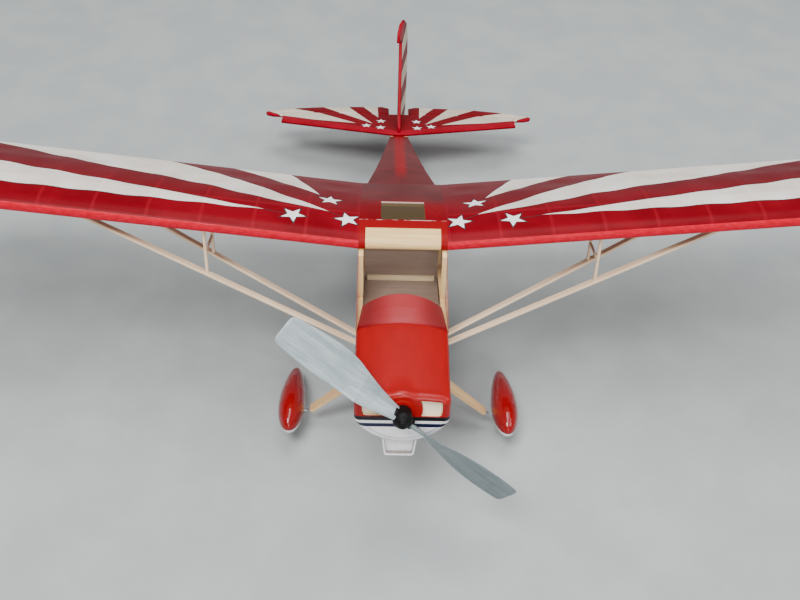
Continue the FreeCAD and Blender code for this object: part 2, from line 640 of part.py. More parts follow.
def wheel_pant():
    """Streamlined spat of elliptical sections, with a slot for the wheel."""
    rows = [(-29.0, 0.5), (-27.0, 4.6), (-22.0, 8.0), (-14.0, 10.8), (-4.0, 12.0), (8.0, 11.2),
            (22.0, 7.6), (34.0, 3.4), (41.0, 0.5)]
    sections = []
    for along, tall in rows:
        ring = Part.Ellipse(Vector(0, 0, 0), tall, tall * PANT_SLIM).toShape()
        ring.rotate(Vector(0, 0, 0), Vector(1, 0, 0), 90)
        ring.rotate(Vector(0, 0, 0), Vector(0, 1, 0), 90)
        ring.translate(Vector(HALF_TRACK, WHEEL_Y + along, PANT_Z))
        sections.append(Part.Wire([ring]))
    body = Part.makeLoft(sections, True, False)
    half = WHEEL_WIDTH / 2 + 1.2
    well = rod(Vector(HALF_TRACK - half, WHEEL_Y, WHEEL_Z), Vector(HALF_TRACK + half, WHEEL_Y, WHEEL_Z),
               WHEEL_R + 1.2)
    slot = box(HALF_TRACK - half, HALF_TRACK + half, WHEEL_Y - WHEEL_R - 1.2, WHEEL_Y + WHEEL_R + 1.2,
               -100, WHEEL_Z)
    return body.cut(well.fuse(slot))


def wheel(centre, radius, width, bore_r):
    """Wheel with a rounded tread, turning about x."""
    half = width / 2
    tread = [Vector(-half, bore_r, 0), Vector(-half, radius - 1.6, 0)]
    edges = [Part.makeLine(*tread)]
    shoulder = Vector(half, radius - 1.6, 0)
    edges.append(Part.Arc(tread[1], Vector(0, radius, 0), shoulder).toShape())
    edges.append(Part.makeLine(shoulder, Vector(half, bore_r, 0)))
    edges.append(Part.makeLine(Vector(half, bore_r, 0), tread[0]))
    solid = Part.Face(Part.Wire(edges)).revolve(Vector(0, 0, 0), Vector(1, 0, 0), 360)
    solid.translate(centre)
    return solid


def tail_wheel_wire():
    points = [Vector(0, 438, -2.6), Vector(3.1, 445, -4.8), Vector(3.1, TAIL_WHEEL_Y, TAIL_WHEEL_Z),
              Vector(-2.4, TAIL_WHEEL_Y, TAIL_WHEEL_Z)]
    return wire_form(points, TAIL_WIRE_R)


def struts():
    """Front and rear lift struts and the pair of jury struts of the wing on +x."""
    floor_zone = wing_underside_space()
    made, lines = [], []
    for inner, outer_y in (FRONT_STRUT, REAR_STRUT):
        outer = Vector(STRUT_OUT_X, outer_y, wing_bottom(STRUT_OUT_X, outer_y))
        lines.append((inner, outer))
        reach = (outer - inner) * 0.02
        raw = strip(inner - reach, outer + reach, Vector(0, 1, 0), 5.0, 2.0)
        clear_of_cabin = box(CABIN_HALF + 0.02, BIG, 0, BIG, -BIG, BIG)
        made.append(raw.common(clear_of_cabin).common(floor_zone))
    jury = []
    feet = []
    for (inner, outer), strut in zip(lines, made):
        share = (JURY_X - inner.x) / (outer.x - inner.x)
        foot = inner + (outer - inner) * share
        feet.append(foot)
        head = Vector(foot.x, foot.y, 90)
        jury.append(rod(foot, head, 1.1).common(floor_zone))
    link_at = 0.45
    link = [foot + Vector(0, 0, (wing_bottom(foot.x, foot.y) - foot.z) * link_at) for foot in feet]
    brace = rod(link[0], link[1], 0.9)
    frame = fused(jury + [brace])
    rear = made[1].cut(made[0])
    return made[0], rear, without(frame, [made[0], rear])


def wing_underside_space():
    """The space under one wing panel, bounded by its flat underside."""
    space = box(-40, BIG, -BIG, BIG, -BIG, -0.02)
    space.rotate(Vector(0, 0, 0), Vector(1, 0, 0), -INCIDENCE)
    space.rotate(Vector(0, 0, 0), Vector(0, 1, 0), -DIHEDRAL)
    space.translate(Vector(CABIN_HALF, WING_LE_Y, WING_BOTTOM_Z))
    return space


# Tail ------------------------------------------------------------------------------------------
def flat_tail(outline, bars, horizontal):
    """Core sticks inside an outline, and a film sheet on each face, as (frame, covering)."""
    low, high = -TAIL_CORE / 2, TAIL_CORE / 2
    make = prism_z if horizontal else prism_x
    core = make(outline, low, high)
    centre = Part.Face(Part.makePolygon([Vector(a, b, 0) for a, b in outline + outline[:1]]))
    hole = centre.makeOffset2D(-4.0)
    window = hole.extrude(Vector(0, 0, 20))
    window.translate(Vector(0, 0, -10))
    if not horizontal:
        matrix = FreeCAD.Matrix(0, 0, 1, 0, 1, 0, 0, 0, 0, 1, 0, 0)
        window = window.transformGeometry(matrix)
    rim = core.cut(window)
    bars = [core.common(make(bar, low, high)).common(window) for bar in bars]
    bars = [without(bar, bars[:index]) for index, bar in enumerate(bars)]
    sheets = [make(outline, high, high + FILM), make(outline, low - FILM, low)]
    return [rim] + bars, sheets


def stabilizer():
    half = [(0, STAB_SEAT_Y), (10, 388.7), (STAB_HALF, 414.8), (STAB_HALF, STAB_TE_Y)]
    outline = half + [(-x, y) for x, y in reversed(half[1:])]
    bars = [stick_polygon((x, 380), (x, 440)) for x in (-88, -59, -30, 0, 30, 59, 88)]
    frame, film = flat_tail(outline, bars, True)
    for shape in frame + film:
        shape.translate(Vector(0, 0, STAB_Z))
    return together(frame), together(film)


def elevator_outline():
    return [(10, ELEVATOR_LE_Y), (113.8, ELEVATOR_LE_Y), (113.8, 430.0), (123, 430.8), (129, 433.6),
            (130.2, 437.2), (127, 440.4), (110, 447.1), (75, 454.0), (44, 456.6), (16, 458.0), (10, 454)]


def elevators():
    """Both elevator halves on one torque wire along the hinge line."""
    outline = elevator_outline()
    bars = [stick_polygon((x, 425), (x, 460)) for x in (34, 58, 82, 104)]
    frame, film = flat_tail(outline, bars, True)
    halves = []
    for shape in frame:
        shape.translate(Vector(0, 0, STAB_Z))
        halves += [shape, mirrored(shape)]
    sheets = []
    for shape in film:
        shape.translate(Vector(0, 0, STAB_Z))
        sheets += [shape, mirrored(shape)]
    hinge = Vector(13, ELEVATOR_HINGE_Y, STAB_Z)
    torque_wire = rod(Vector(-13, ELEVATOR_HINGE_Y, STAB_Z), hinge, 0.6)
    lug = box(10.2, 13.4, ELEVATOR_HINGE_Y - 0.1, ELEVATOR_LE_Y, STAB_Z - 0.5, STAB_Z + 0.5)
    joiner = torque_wire.fuse([lug, mirrored(lug)])
    return together(halves + [joiner]), together(sheets)


def fin():
    outline = [(391, SEAT_Z + TAIL_THICK), (435.0, FIN_TOP_Z), (TAIL_POST_Y, FIN_TOP_Z),
               (TAIL_POST_Y, SEAT_Z + TAIL_THICK)]
    bars = [stick_polygon((395, 44), (450, 44)), stick_polygon((395, 66), (450, 66))]
    frame, film = flat_tail(outline, bars, False)
    return together(frame), together(film)


def rudder_outline():
    return [(RUDDER_LE_Y, 1.5), (RUDDER_LE_Y, FIN_TOP_Z + 1.0), (437.0, FIN_TOP_Z + 1.0), (438.6, 102.4),
            (445.5, 108.6), (457, 110.0), (466, 105.0), (471.0, 93.0), (473.0, 70.0), (473.0, 40.0),
            (470.5, 18.0), (465, 6.0), (457, 1.5)]


def rudder():
    bars = [stick_polygon((440, z), (480, z)) for z in (24, 47, 70, 93)]
    frame, film = flat_tail(rudder_outline(), bars, False)
    pair = [together(frame), together(film)]
    for shape in pair:
        shape.rotate(Vector(0, RUDDER_HINGE_Y, 0), Vector(0, 0, 1), -RUDDER_REST)
    return pair


# Assembly --------------------------------------------------------------------------------------
def ground_angle():
    """Nose-up angle, in degrees, at which all three wheels stand on one plane."""
    run, rise = TAIL_WHEEL_Y - WHEEL_Y, TAIL_WHEEL_Z - WHEEL_Z
    slope = math.atan2(rise, run) + math.asin((WHEEL_R - TAIL_WHEEL_R) / math.hypot(run, rise))
    return math.degrees(slope)


def add_pair(nodes, name, shape):
    """A piece drawn on the left, and its mirror image on the right."""
    nodes["left_" + name], nodes["right_" + name] = shape, mirrored(shape)


def build_level():
    """Every node in the level frame, by name."""
    nodes = {}
    for name, shape in wing_panel().items():
        add_pair(nodes, name, shape)
    nodes.update(centre_section())

    shell, hollow = cowl()
    solid_cowl = cowl_body(0.0, 0.0)
    nodes["cowl"] = shell
    nodes["nose_block"] = nose_block(hollow)
    nodes["cowl_scoop"] = cowl_scoop(solid_cowl)
    nodes["windscreen"] = windscreen()
    nodes["dash_coaming"] = dash_coaming()

    frame = side_frame()
    wire_room = gear_wire(AXLE_R + GAP)
    rooms = [wire_room, mirrored(wire_room)]
    add_pair(nodes, "side_frame", frame)
    crossing = [without(piece, rooms + [frame, mirrored(frame)]) for piece in cross_members()]
    nodes["cross_members"] = together(crossing)
    deck_film, stringer = rear_deck()
    inside = [without(piece, crossing) for piece in cabin_inside()]
    nodes["cabin_formers"] = together(inside)
    nodes["deck_stringer"] = together([stringer])
    side_film, panes, belly = fuselage_skin()
    add_pair(nodes, "side_covering", side_film)
    nodes["cabin_windows"] = panes
    nodes["belly_covering"] = without(belly, rooms)
    nodes["deck_covering"] = deck_film

    add_pair(nodes, "gear_wire", gear_wire(AXLE_R))
    fairing = leg_fairing().cut(wire_room)
    pant = wheel_pant().cut(wire_room)
    tyre = wheel(Vector(HALF_TRACK, WHEEL_Y, WHEEL_Z), WHEEL_R, WHEEL_WIDTH, AXLE_R + AXLE_SLACK)
    front, rear, jury = struts()
    for name, shape in (("leg_fairing", fairing), ("wheel_pant", pant), ("wheel", tyre),
                        ("front_strut", front), ("rear_strut", rear), ("jury_struts", jury)):
        add_pair(nodes, name, shape)
    nodes["tail_wheel_wire"] = tail_wheel_wire()
    nodes["tail_wheel"] = wheel(Vector(0, TAIL_WHEEL_Y, TAIL_WHEEL_Z), TAIL_WHEEL_R, TAIL_WHEEL_WIDTH,
                                TAIL_WIRE_R + AXLE_SLACK)

    nodes["stabilizer_frame"], nodes["stabilizer_covering"] = stabilizer()
    nodes["elevator_frame"], nodes["elevator_covering"] = elevators()
    nodes["fin_frame"], nodes["fin_covering"] = fin()
    nodes["rudder_frame"], nodes["rudder_covering"] = rudder()

    nodes["nose_plug"] = nose_plug()
    nodes["thrust_bearing"] = thrust_bearing()
    nodes["prop_shaft"] = prop_shaft()
    nodes.update(propeller())
    hook_loop = HOOK_Y + HOOK_R - SHAFT_R - STRAND_R - 0.05 + STRAND_Z
    nodes["rubber_motor_front"] = rubber_half(hook_loop, MOTOR_MIDDLE_Y, -1)
    nodes["rubber_motor_rear"] = rubber_half(PEG_Y, MOTOR_MIDDLE_Y, 1)
    nodes["motor_peg"] = motor_peg()
    for name in THRUST_LINE:
        nodes[name].translate(Vector(0, 0, THRUST_Z))
    return nodes


def level_to_stand(nodes):
    """Offset that centres the tipped model over the origin with its wheels on z = 0."""
    outermost = ("propeller_blades", "propeller_hub", "rudder_frame", "rudder_covering")
    bounds = Part.makeCompound([nodes[name] for name in outermost]).optimalBoundingBox(False)
    ground = nodes["left_wheel"].optimalBoundingBox(False).ZMin
    return Vector(0, -bounds.Center.y, -ground)


def main():
    os.makedirs("parts", exist_ok=True)
    nodes = build_level()
    for shape in nodes.values():
        shape.rotate(Vector(0, 0, 0), Vector(1, 0, 0), -ground_angle())
    offset = level_to_stand(nodes)
    for name, shape in nodes.items():
        shape.translate(offset)
        shape.exportStep("parts/" + name + ".step")
    print("nodes", len(nodes), "offset", [round(v, 4) for v in offset], "angle", round(ground_angle(), 4))


if __name__ == "__main__":
    main()
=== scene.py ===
import json
from math import asin, atan, atan2, copysign, cos, dist, hypot, inf, pi, radians, sin, sqrt
import bmesh
import bpy
from mathutils import Matrix, Vector


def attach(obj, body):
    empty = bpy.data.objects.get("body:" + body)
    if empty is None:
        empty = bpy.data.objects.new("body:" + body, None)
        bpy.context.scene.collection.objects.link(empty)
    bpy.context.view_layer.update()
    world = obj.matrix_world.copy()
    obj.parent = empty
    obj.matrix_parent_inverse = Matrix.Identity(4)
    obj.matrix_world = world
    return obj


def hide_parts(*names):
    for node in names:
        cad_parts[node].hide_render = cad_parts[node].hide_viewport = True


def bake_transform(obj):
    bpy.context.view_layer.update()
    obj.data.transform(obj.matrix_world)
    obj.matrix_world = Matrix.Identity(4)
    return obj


# Looks for a rubber-powered balsa cabin monoplane. Every piece is drawn in the aircraft's level
# frame, in millimetres: x to its own left, y aft from the cowl face, z up. place() puts such a
# point into the row frame, in metres.

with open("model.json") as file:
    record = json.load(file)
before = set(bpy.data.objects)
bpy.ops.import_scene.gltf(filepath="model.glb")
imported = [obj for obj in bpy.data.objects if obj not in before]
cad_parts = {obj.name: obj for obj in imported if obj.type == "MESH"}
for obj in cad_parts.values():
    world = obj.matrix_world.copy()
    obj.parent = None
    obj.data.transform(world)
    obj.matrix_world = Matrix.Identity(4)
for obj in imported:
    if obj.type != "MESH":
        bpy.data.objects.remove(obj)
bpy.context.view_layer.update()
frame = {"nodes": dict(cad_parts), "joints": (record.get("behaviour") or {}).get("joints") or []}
NODES = frame["nodes"]
SPIN = next(joint for joint in frame["joints"] if joint["name"] == "propeller_spin")

THRUST_Z = 3.5
AFT = Vector(SPIN["axis"]).normalized()
LEFT = Vector((1, 0, 0))
UP = LEFT.cross(AFT)
ORIGIN = Vector(SPIN["pos_m"]) - UP * (THRUST_Z * 0.001)
TIP_UP = atan2(-AFT.z, AFT.y)

CHORD = 111
CABIN_HALF = 29.5
DIHEDRAL = radians(5.85)
INCIDENCE = radians(2.05)
WING_LE_Y, WING_BOTTOM_Z = 105, 53
PANEL = (381 - CABIN_HALF) / cos(DIHEDRAL)
TIP_START = PANEL - 42
TIP_CURVE = 42.8  # the film reaches just past the tip bow
RIB_AT, RIB_PITCH = 1.6, 34.4
SPARS = (27, 70)
WALL_Y, FLOOR_TOP = 143, 9.5  # rear wall and floor of the cabin
WHEEL_Y, HALF_TRACK, PANT_Z = 93, 76.3, -67
SHEET_Y = 125.4  # where the bare balsa sheet on the roof meets the film
STRIPES = (-1.4, -4.4, -6.5, -9.2)  # heights at the cowl face where the colour changes
STRIPE_SLOPE = 0.03
HINGE_Y = 446.8  # rudder hinge line
RUDDER_TURN = radians(-14)  # where the rudder rests


def place(x, y, z):
    return ORIGIN + (LEFT * x + AFT * y + UP * z) * 0.001


def linear(colour):
    """Display colour, 0 to 255, as a linear node colour."""
    return (*(v / 255 / 12.92 if v < 11 else ((v / 255 + 0.055) / 1.055) ** 2.4 for v in colour), 1)


def smooth(low, high, value):
    t = min(max((value - low) / (high - low), 0), 1)
    return t * t * (3 - 2 * t)


# Materials
class Finish:
    """A Principled material and the node steps that the finishes share."""

    def __init__(self, name, slot, **sockets):
        self.slot = slot
        self.mat = bpy.data.materials.new(name)
        self.mat.use_nodes = True
        self.tree = self.mat.node_tree
        self.shader = self.tree.nodes["Principled BSDF"]
        for socket, value in sockets.items():
            self.shader.inputs[socket.replace("_", " ").title().replace("Ior", "IOR")].default_value = value

    def feed(self, socket, value):
        if isinstance(value, bpy.types.NodeSocket):
            self.tree.links.new(value, socket)
        else:
            socket.default_value = value

    def node(self, kind, **settings):
        made = self.tree.nodes.new("ShaderNode" + kind)
        for key, value in settings.items():
            setattr(made, key, value)
        return made

    def math(self, operation, a, b=0):
        made = self.node("Math", operation=operation)
        self.feed(made.inputs[0], a)
        self.feed(made.inputs[1], b)
        return made.outputs[0]

    def times(self, a, b):
        return self.math("MULTIPLY", a, b)

    def minus(self, a, b):
        return self.math("SUBTRACT", a, b)

    def off(self, value, at):
        """Distance of a value from a number."""
        return self.math("ABSOLUTE", self.minus(value, at))

    def split(self, vector=None):
        """The three parts of a vector, or of coords()."""
        made = self.node("SeparateXYZ")
        self.feed(made.inputs[0], vector or self.coords())
        return made.outputs

    def coords(self):
        """Level-frame millimetres from the rest position of the piece."""
        mapping = self.node("Mapping")
        shift = Matrix.Rotation(TIP_UP, 3, "X") @ ORIGIN * -1000
        settings = (self.node("TexCoord").outputs["Object"], shift, (TIP_UP, 0, 0), (1000, 1000, 1000))
        for socket, value in zip(mapping.inputs, settings):
            self.feed(socket, value)
        return mapping.outputs[0]

    def stretched(self, direction, squeeze):
        """Coordinates with x along a level-frame direction, drawn out by squeeze."""
        turn = Vector(direction).rotation_difference(LEFT).to_euler()
        vector = self.coords()
        for socket, value in (("Rotation", turn), ("Scale", (squeeze, 1, 1))):
            made = self.node("Mapping")
            self.feed(made.inputs[0], vector)
            made.inputs[socket].default_value = value
            vector = made.outputs[0]
        return vector

    def noise(self, vector, scale, detail=4, rough=0.55):
        made = self.node("TexNoise")
        for name, value in (("Vector", vector), ("Scale", scale), ("Detail", detail), ("Roughness", rough)):
            self.feed(made.inputs[name], value)
        return made.outputs[0]

    def streaks(self, direction, squeeze, scale, detail=4, rough=0.55):
        return self.noise(self.stretched(direction, squeeze), scale, detail, rough)

    def ramp(self, factor, *stops):
        """Colour ramp between two stops, each a position and a colour."""
        made = self.node("ValToRGB")
        for element, (at, colour) in zip(made.color_ramp.elements, stops):
            element.position = at
            element.color = linear(colour)
        self.feed(made.inputs[0], factor)
        return made.outputs[0]

    def mix(self, factor, a, b):
        made = self.node("Mix", data_type="RGBA")
        self.feed(made.inputs[0], factor)
        for socket, value in ((made.inputs[6], a), (made.inputs[7], b)):
            self.feed(socket, linear(value) if isinstance(value, tuple) else value)
        return made.outputs[2]

    def map_range(self, numbers, kind="LINEAR"):
        made = self.node("MapRange", interpolation_type=kind)
        for socket, number in zip(made.inputs, numbers):
            self.feed(socket, number)
        return made.outputs[0]

    def step(self, value, low, high):
        """0 below low and 1 above high, with a soft change between."""
        return self.map_range((value, low, high, 0, 1), "SMOOTHSTEP")

    def drop(self, value, low, high):
        return self.minus(1, self.step(value, low, high))

    def colour(self, value):
        self.feed(self.shader.inputs["Base Color"], value)
        return self

    def painted(self):
        """The colour fed so far."""
        return self.shader.inputs["Base Color"].links[0].from_socket

    def over(self, tone, mask, share, colour):
        """Colour laid over a tone where the mask is 1, at a share of full strength."""
        return self.mix(self.times(mask, share), tone, colour)

    def roughness(self, factor, low, high):
        self.feed(self.shader.inputs["Roughness"], self.map_range((factor, 0, 1, low, high)))
        return self

    def bump(self, height, distance, strength=1):
        made = self.node("Bump")
        for name, value in (("Strength", strength), ("Distance", distance), ("Height", height)):
            self.feed(made.inputs[name], value)
        self.feed(self.shader.inputs["Normal"], made.outputs[0])
        return self


def wood(name, slot, direction, dark, light, blotch=0.35):
    """Bare wood with its grain along a level-frame direction."""
    f = Finish(name, slot, roughness=0.6)
    grain = f.stretched(direction, 0.035)
    fibre, band = f.noise(grain, 1.9, 5, 0.7), f.noise(grain, 0.45, 3)
    both = f.math("ADD", f.times(fibre, 0.55), f.times(band, 0.45))
    plain = f.ramp(both, (0.34, dark), (0.62, light))
    shade = f.noise(f.coords(), 0.035, 2)
    f.colour(f.over(plain, f.step(shade, 0.42, 0.7), blotch, dark))
    return f.roughness(fibre, 0.5, 0.78).bump(fibre, 0.00012, 0.7)


def shaded_cabin_wood():
    """Wood inside the cabin in a grey-brown far darker than bare balsa, which is painted shade of the
    closed cabin, with a pale strip along the foot of the rear wall.
    """
    # grey-brown tones: painted shade over the wood
    f = wood("shaded_cabin_wood", "balsa", (1, 0, 0), (132, 110, 94), (152, 130, 114), 0.2)
    _, y, z = f.split()
    ahead = f.drop(y, WALL_Y - 0.07, WALL_Y - 0.03)
    strip = f.times(f.times(f.step(y, WALL_Y - 3.7, WALL_Y - 3.6), ahead),
                   f.step(z, FLOOR_TOP + 0.03, FLOOR_TOP + 0.07))
    return f.colour(f.mix(strip, f.painted(), (250, 226, 180)))


def gloss(name, slot, colour, deep, rough=0.14, coat=0.6, bands=0.16):
    """Smooth paint or moulded plastic with faint waviness, fine dust and a slight tone change in soft
    lengthwise bands, which is painted reflection.
    """
    f = Finish(name, slot, roughness=rough, specular_ior_level=0.3, coat_weight=coat, coat_roughness=0.05)
    at = f.coords()
    wide = f.streaks((0, 1, 0), 0.12, bands, 2)
    dust = f.noise(at, 3.5, 6, 0.7)
    # soft lengthwise bands towards the deeper tone: painted reflection
    tone = f.over(colour, f.step(wide, 0.38, 0.66), 0.7, deep)
    f.colour(f.over(tone, f.step(dust, 0.62, 0.8), 0.06, (236, 222, 214)))
    return f.roughness(dust, rough, rough + 0.1).bump(f.noise(at, 0.12, 1), 0.0005, 0.16)


def support_mask(f):
    """1 over ribs and spars, from the panel attribute that holds span and chord in mm."""
    span, chord, _ = f.split(f.node("Attribute", attribute_name="panel").outputs["Vector"])
    found = f.drop(f.math("PINGPONG", f.minus(span, RIB_AT), RIB_PITCH / 2), 0.6, 1.5)
    for at in SPARS:
        found = f.math("MAXIMUM", found, f.drop(f.off(chord, at + 1.5), 1.1, 2))
    return f.math("MAXIMUM", found, f.step(chord, 96.2, 97.4)), chord


def film(name, deep, clear, over, grazing_sheen=None, rough=0.24):
    """Shrunk film: mottled colour, lighter where it lies on wood, with a painted sheen over the rear of the
    chord when a sheen colour is given, and fine tight wrinkles.
    """
    f = Finish(name, "red_film", roughness=rough, specular_ior_level=0.07)
    at = f.coords()
    cloud, fine = f.noise(at, 0.03, 3), f.noise(at, 1.3, 5, 0.65)
    tone = f.mix(f.step(cloud, 0.36, 0.66), deep, clear)
    tone = f.over(tone, f.step(fine, 0.5, 0.75), 0.22, over)
    mask, chord = support_mask(f)
    tone = f.over(tone, mask, 0.38, over)
    if grazing_sheen:
        # painted sheen: a greyed, brownish red over the rear of the chord, where the film is seen at a
        # glance
        tone = f.over(tone, f.step(chord, 34, 70), 0.75, grazing_sheen)
    f.colour(tone)
    wrinkle = f.streaks((1, 0.6, 0), 0.25, 0.7, 3)
    height = f.math("ADD", f.times(wrinkle, 0.7), f.times(fine, 0.3))
    return f.roughness(fine, rough, rough + 0.2).bump(height, 0.0004, 0.4)


def roof_film():
    """Film over the cabin roof and the rear deck: deep red in front, and a greyed, brownish red aft that is
    painted sheen.
    """
    f = Finish("roof_film", "red_film", roughness=0.3, specular_ior_level=0.07)
    at = f.coords()
    x, y, _ = f.split(at)
    x = f.math("ABSOLUTE", x)
    cloud, fine = f.noise(at, 0.03, 3), f.noise(at, 1.3, 5, 0.65)
    patch = f.step(cloud, 0.36, 0.66)
    red, grazing_sheen = f.mix(patch, (114, 1, 13), (128, 2, 17)), f.mix(patch, (90, 32, 34), (104, 40, 42))
    # painted sheen aft, as over the rear of the wing chord
    tone = f.mix(f.step(y, 148, 170), red, grazing_sheen)
    tone = f.mix(f.step(y, SHEET_Y + 0.2, SHEET_Y - 0.2), tone, (140, 12, 18))
    streak = f.times(f.step(y, 222, 260), f.drop(x, 2, 6.5))
    tone = f.over(tone, streak, 0.8, (150, 1, 15))
    bar = f.math("PINGPONG", f.minus(y, 216), 23)
    bars = f.times(f.drop(bar, 0.6, 1.6), f.step(y, 200, 214))
    tone = f.over(tone, bars, 0.3, (170, 40, 48))
    seam = f.drop(f.off(y, SHEET_Y), 0.15, 0.45)
    worn = f.step(f.streaks((1, 0, 0), 0.3, 0.5, 3), 0.44, 0.56)
    tone = f.over(tone, seam, worn, (240, 196, 190))
    f.colour(f.over(tone, f.step(fine, 0.5, 0.75), 0.15, (170, 44, 52)))
    wrinkle = f.streaks((1, 0.6, 0), 0.25, 0.7, 3)
    return f.roughness(fine, 0.26, 0.46).bump(wrinkle, 0.0004, 0.35)


def coaming_finish():
    """Red deck under the windscreen, paler along the middle, where it catches the light."""
    f = gloss("coaming_red", "red_gloss", (122, 0, 13), (112, 0, 11), 0.36, 0.04, 0.3)
    middle = f.drop(f.off(f.split()[0], 0), 6, 24)
    return f.colour(f.over(f.painted(), middle, 0.75, (166, 30, 42)))


def plug_finish():
    """Nose plug: a painted flange on a bare wooden body."""
    f = gloss("nose_plug_paint", "red_gloss", (152, 0, 3), (144, 0, 3), 0.4, 0)
    return f.colour(f.mix(f.step(f.split()[1], -0.2, 0.1), f.painted(), (196, 160, 116)))


def edge_band_with_glints():
    """Bright band along the leading edge, crumpled, with pale flecks that are painted glints."""
    f = Finish("leading_edge_band", "red_film", roughness=0.3, specular_ior_level=0.1, coat_weight=0.05,
               coat_roughness=0.08)
    at = f.coords()
    fleck, crease = f.noise(at, 2.6, 6, 0.75), f.streaks((1, 0, 0), 0.4, 0.55, 4)
    tone = f.mix(f.step(crease, 0.36, 0.68), (186, 0, 32), (208, 2, 46))
    # pale flecks over the band: painted glints
    f.colour(f.over(tone, f.step(fleck, 0.62, 0.72), 0.5, (255, 150, 170)))
    return f.roughness(fleck, 0.14, 0.5).bump(f.math("ADD", fleck, crease), 0.0004, 0.4)


def livery():
    """Fuselage side: film above, a dark, a white and a dark stripe, and white below."""
    f = Finish("side_livery_film", "red_film", roughness=0.28, specular_ior_level=0.2, coat_weight=0.12,
               coat_roughness=0.1)
    at = f.coords()
    _, y, z = f.split(at)
    height = f.minus(z, f.times(y, STRIPE_SLOPE))
    cloud, fine = f.noise(at, 0.04, 3), f.noise(at, 1.2, 5, 0.65)
    red = f.mix(f.step(cloud, 0.36, 0.64), (142, 0, 13), (156, 1, 17))
    white = f.mix(f.step(cloud, 0.35, 0.7), (236, 233, 232), (214, 208, 210))
    tone = white
    for line, colour in zip(reversed(STRIPES), (DARK_BLUE, white, BLACK, red)):
        tone = f.mix(f.step(height, line - 0.12, line + 0.12), tone, colour)
    f.colour(tone)
    return f.roughness(fine, 0.2, 0.42).bump(f.streaks((0, 1, 0), 0.3, 0.5, 3), 0.0004, 0.35)


def clear_sheet(name, tint, low, high, light=(250, 248, 246)):
    """Thin clear plastic: see-through face on, brighter at a glance, with faint smears."""
    f = Finish(name, "clear_sheet", roughness=0.08, ior=1.45)
    at = f.coords()
    smear, fleck = f.streaks((0, 0.4, 1), 0.3, 0.22, 3), f.noise(at, 2.2, 5)
    f.colour(f.mix(f.step(fleck, 0.45, 0.7), tint, light))
    edge = f.node("LayerWeight")
    edge.inputs["Blend"].default_value = 0.35
    veil = f.math("ADD", f.map_range((edge.outputs["Facing"], 0, 1, low, high)), f.times(smear, 0.02))
    f.feed(f.shader.inputs["Alpha"], veil)
    return f.roughness(smear, 0.04, 0.22).bump(smear, 0.0006, 0.3)


def skylight_shade_sheet():
    """Roof window tinted brown and half opaque, which is painted shade of the cabin behind it, with a pale
    strip of wood showing along its rear edge.
    """
    # brown tint and high opacity: painted shade seen through the window
    f = clear_sheet("skylight_shade_sheet", (84, 66, 40), 0.42, 0.7, (104, 84, 54))
    sheet = NODES["skylight"]
    rear = max((sheet.matrix_world @ vert.co - ORIGIN).dot(AFT) for vert in sheet.data.vertices) * 1000
    return f.colour(f.mix(f.step(f.split()[1], rear - 3.3, rear - 2.9), f.painted(), (240, 206, 190)))


def metal(name, slot, colour, deep, rough, direction=(1, 0, 0)):
    """Bare metal with fine drawing lines."""
    f = Finish(name, slot, roughness=rough, metallic=1)
    line = f.streaks(direction, 0.05, 3, 4, 0.7)
    f.colour(f.ramp(line, (0.3, deep), (0.68, colour)))
    return f.roughness(line, rough, rough + 0.25).bump(line, 0.00006, 0.5)


def rough_plastic(name, slot, colour, light, rough=0.4, coat=0.25, specular=0.5):
    """Plastic, rubber or ink with a fine grain."""
    f = Finish(name, slot, roughness=rough, coat_weight=coat, coat_roughness=0.15,
               specular_ior_level=specular)
    grain, cloud = f.noise(f.coords(), 4.5, 5, 0.7), f.noise(f.coords(), 0.25, 3)
    tone = f.mix(f.step(cloud, 0.35, 0.7), colour, light)
    f.colour(f.over(tone, f.step(grain, 0.55, 0.8), 0.25, light))
    return f.roughness(grain, rough, rough + 0.25).bump(grain, 0.00008, 0.6)


def blade_grey(name, direction, dark, light, line):
    """Satin grey plastic brushed lengthwise."""
    f = Finish(name, "grey_plastic", roughness=0.36, metallic=0.25, coat_weight=0.15)
    brush = f.streaks(direction, 0.03, 2.4, 5, 0.75)
    wide, cloud = f.streaks(direction, 0.06, 0.4, 3), f.noise(f.coords(), 0.06, 3)
    both = f.math("ADD", f.times(brush, 0.5), f.times(wide, 0.5))
    tone = f.ramp(both, (0.36, dark), (0.6, light))
    f.colour(f.over(tone, f.step(cloud, 0.5, 0.72), 0.35, line))
    return f.roughness(brush, 0.28, 0.5).bump(brush, 0.00008, 0.6)


def wheel_finish(name, centre_y, centre_z, hub_r):
    """Dark tyre and a paler hub, split by the distance from the axle."""
    f = Finish(name, "wheel_plastic", roughness=0.5)
    at = f.coords()
    _, y, z = f.split(at)
    dy, dz = f.minus(y, centre_y), f.minus(z, centre_z)
    reach = f.math("SQRT", f.math("ADD", f.times(dy, dy), f.times(dz, dz)))
    grain = f.noise(at, 3, 5)
    tyre = f.mix(f.step(grain, 0.4, 0.7), (24, 24, 26), (52, 51, 52))
    hub = f.mix(f.step(grain, 0.4, 0.7), (190, 186, 180), (214, 211, 206))
    groove = f.drop(f.off(reach, hub_r), 0.1, 0.5)
    tone = f.mix(f.step(reach, hub_r - 0.1, hub_r + 0.1), hub, tyre)
    f.colour(f.over(tone, groove, 0.8, (12, 12, 13)))
    return f.roughness(grain, 0.45, 0.75).bump(f.minus(grain, groove), 0.0003, 0.5)


BLACK, DARK_BLUE = (14, 12, 16), (12, 18, 52)

BALSA_X, BALSA_Y, BALSA_Z = (wood("balsa_" + run, "balsa", way, (224, 176, 108), (251, 218, 156))
                             for run, way in (("across", (1, 0, 0)), ("lengthwise", (0, 1, 0)),
                                              ("upright", (0, 0, 1))))
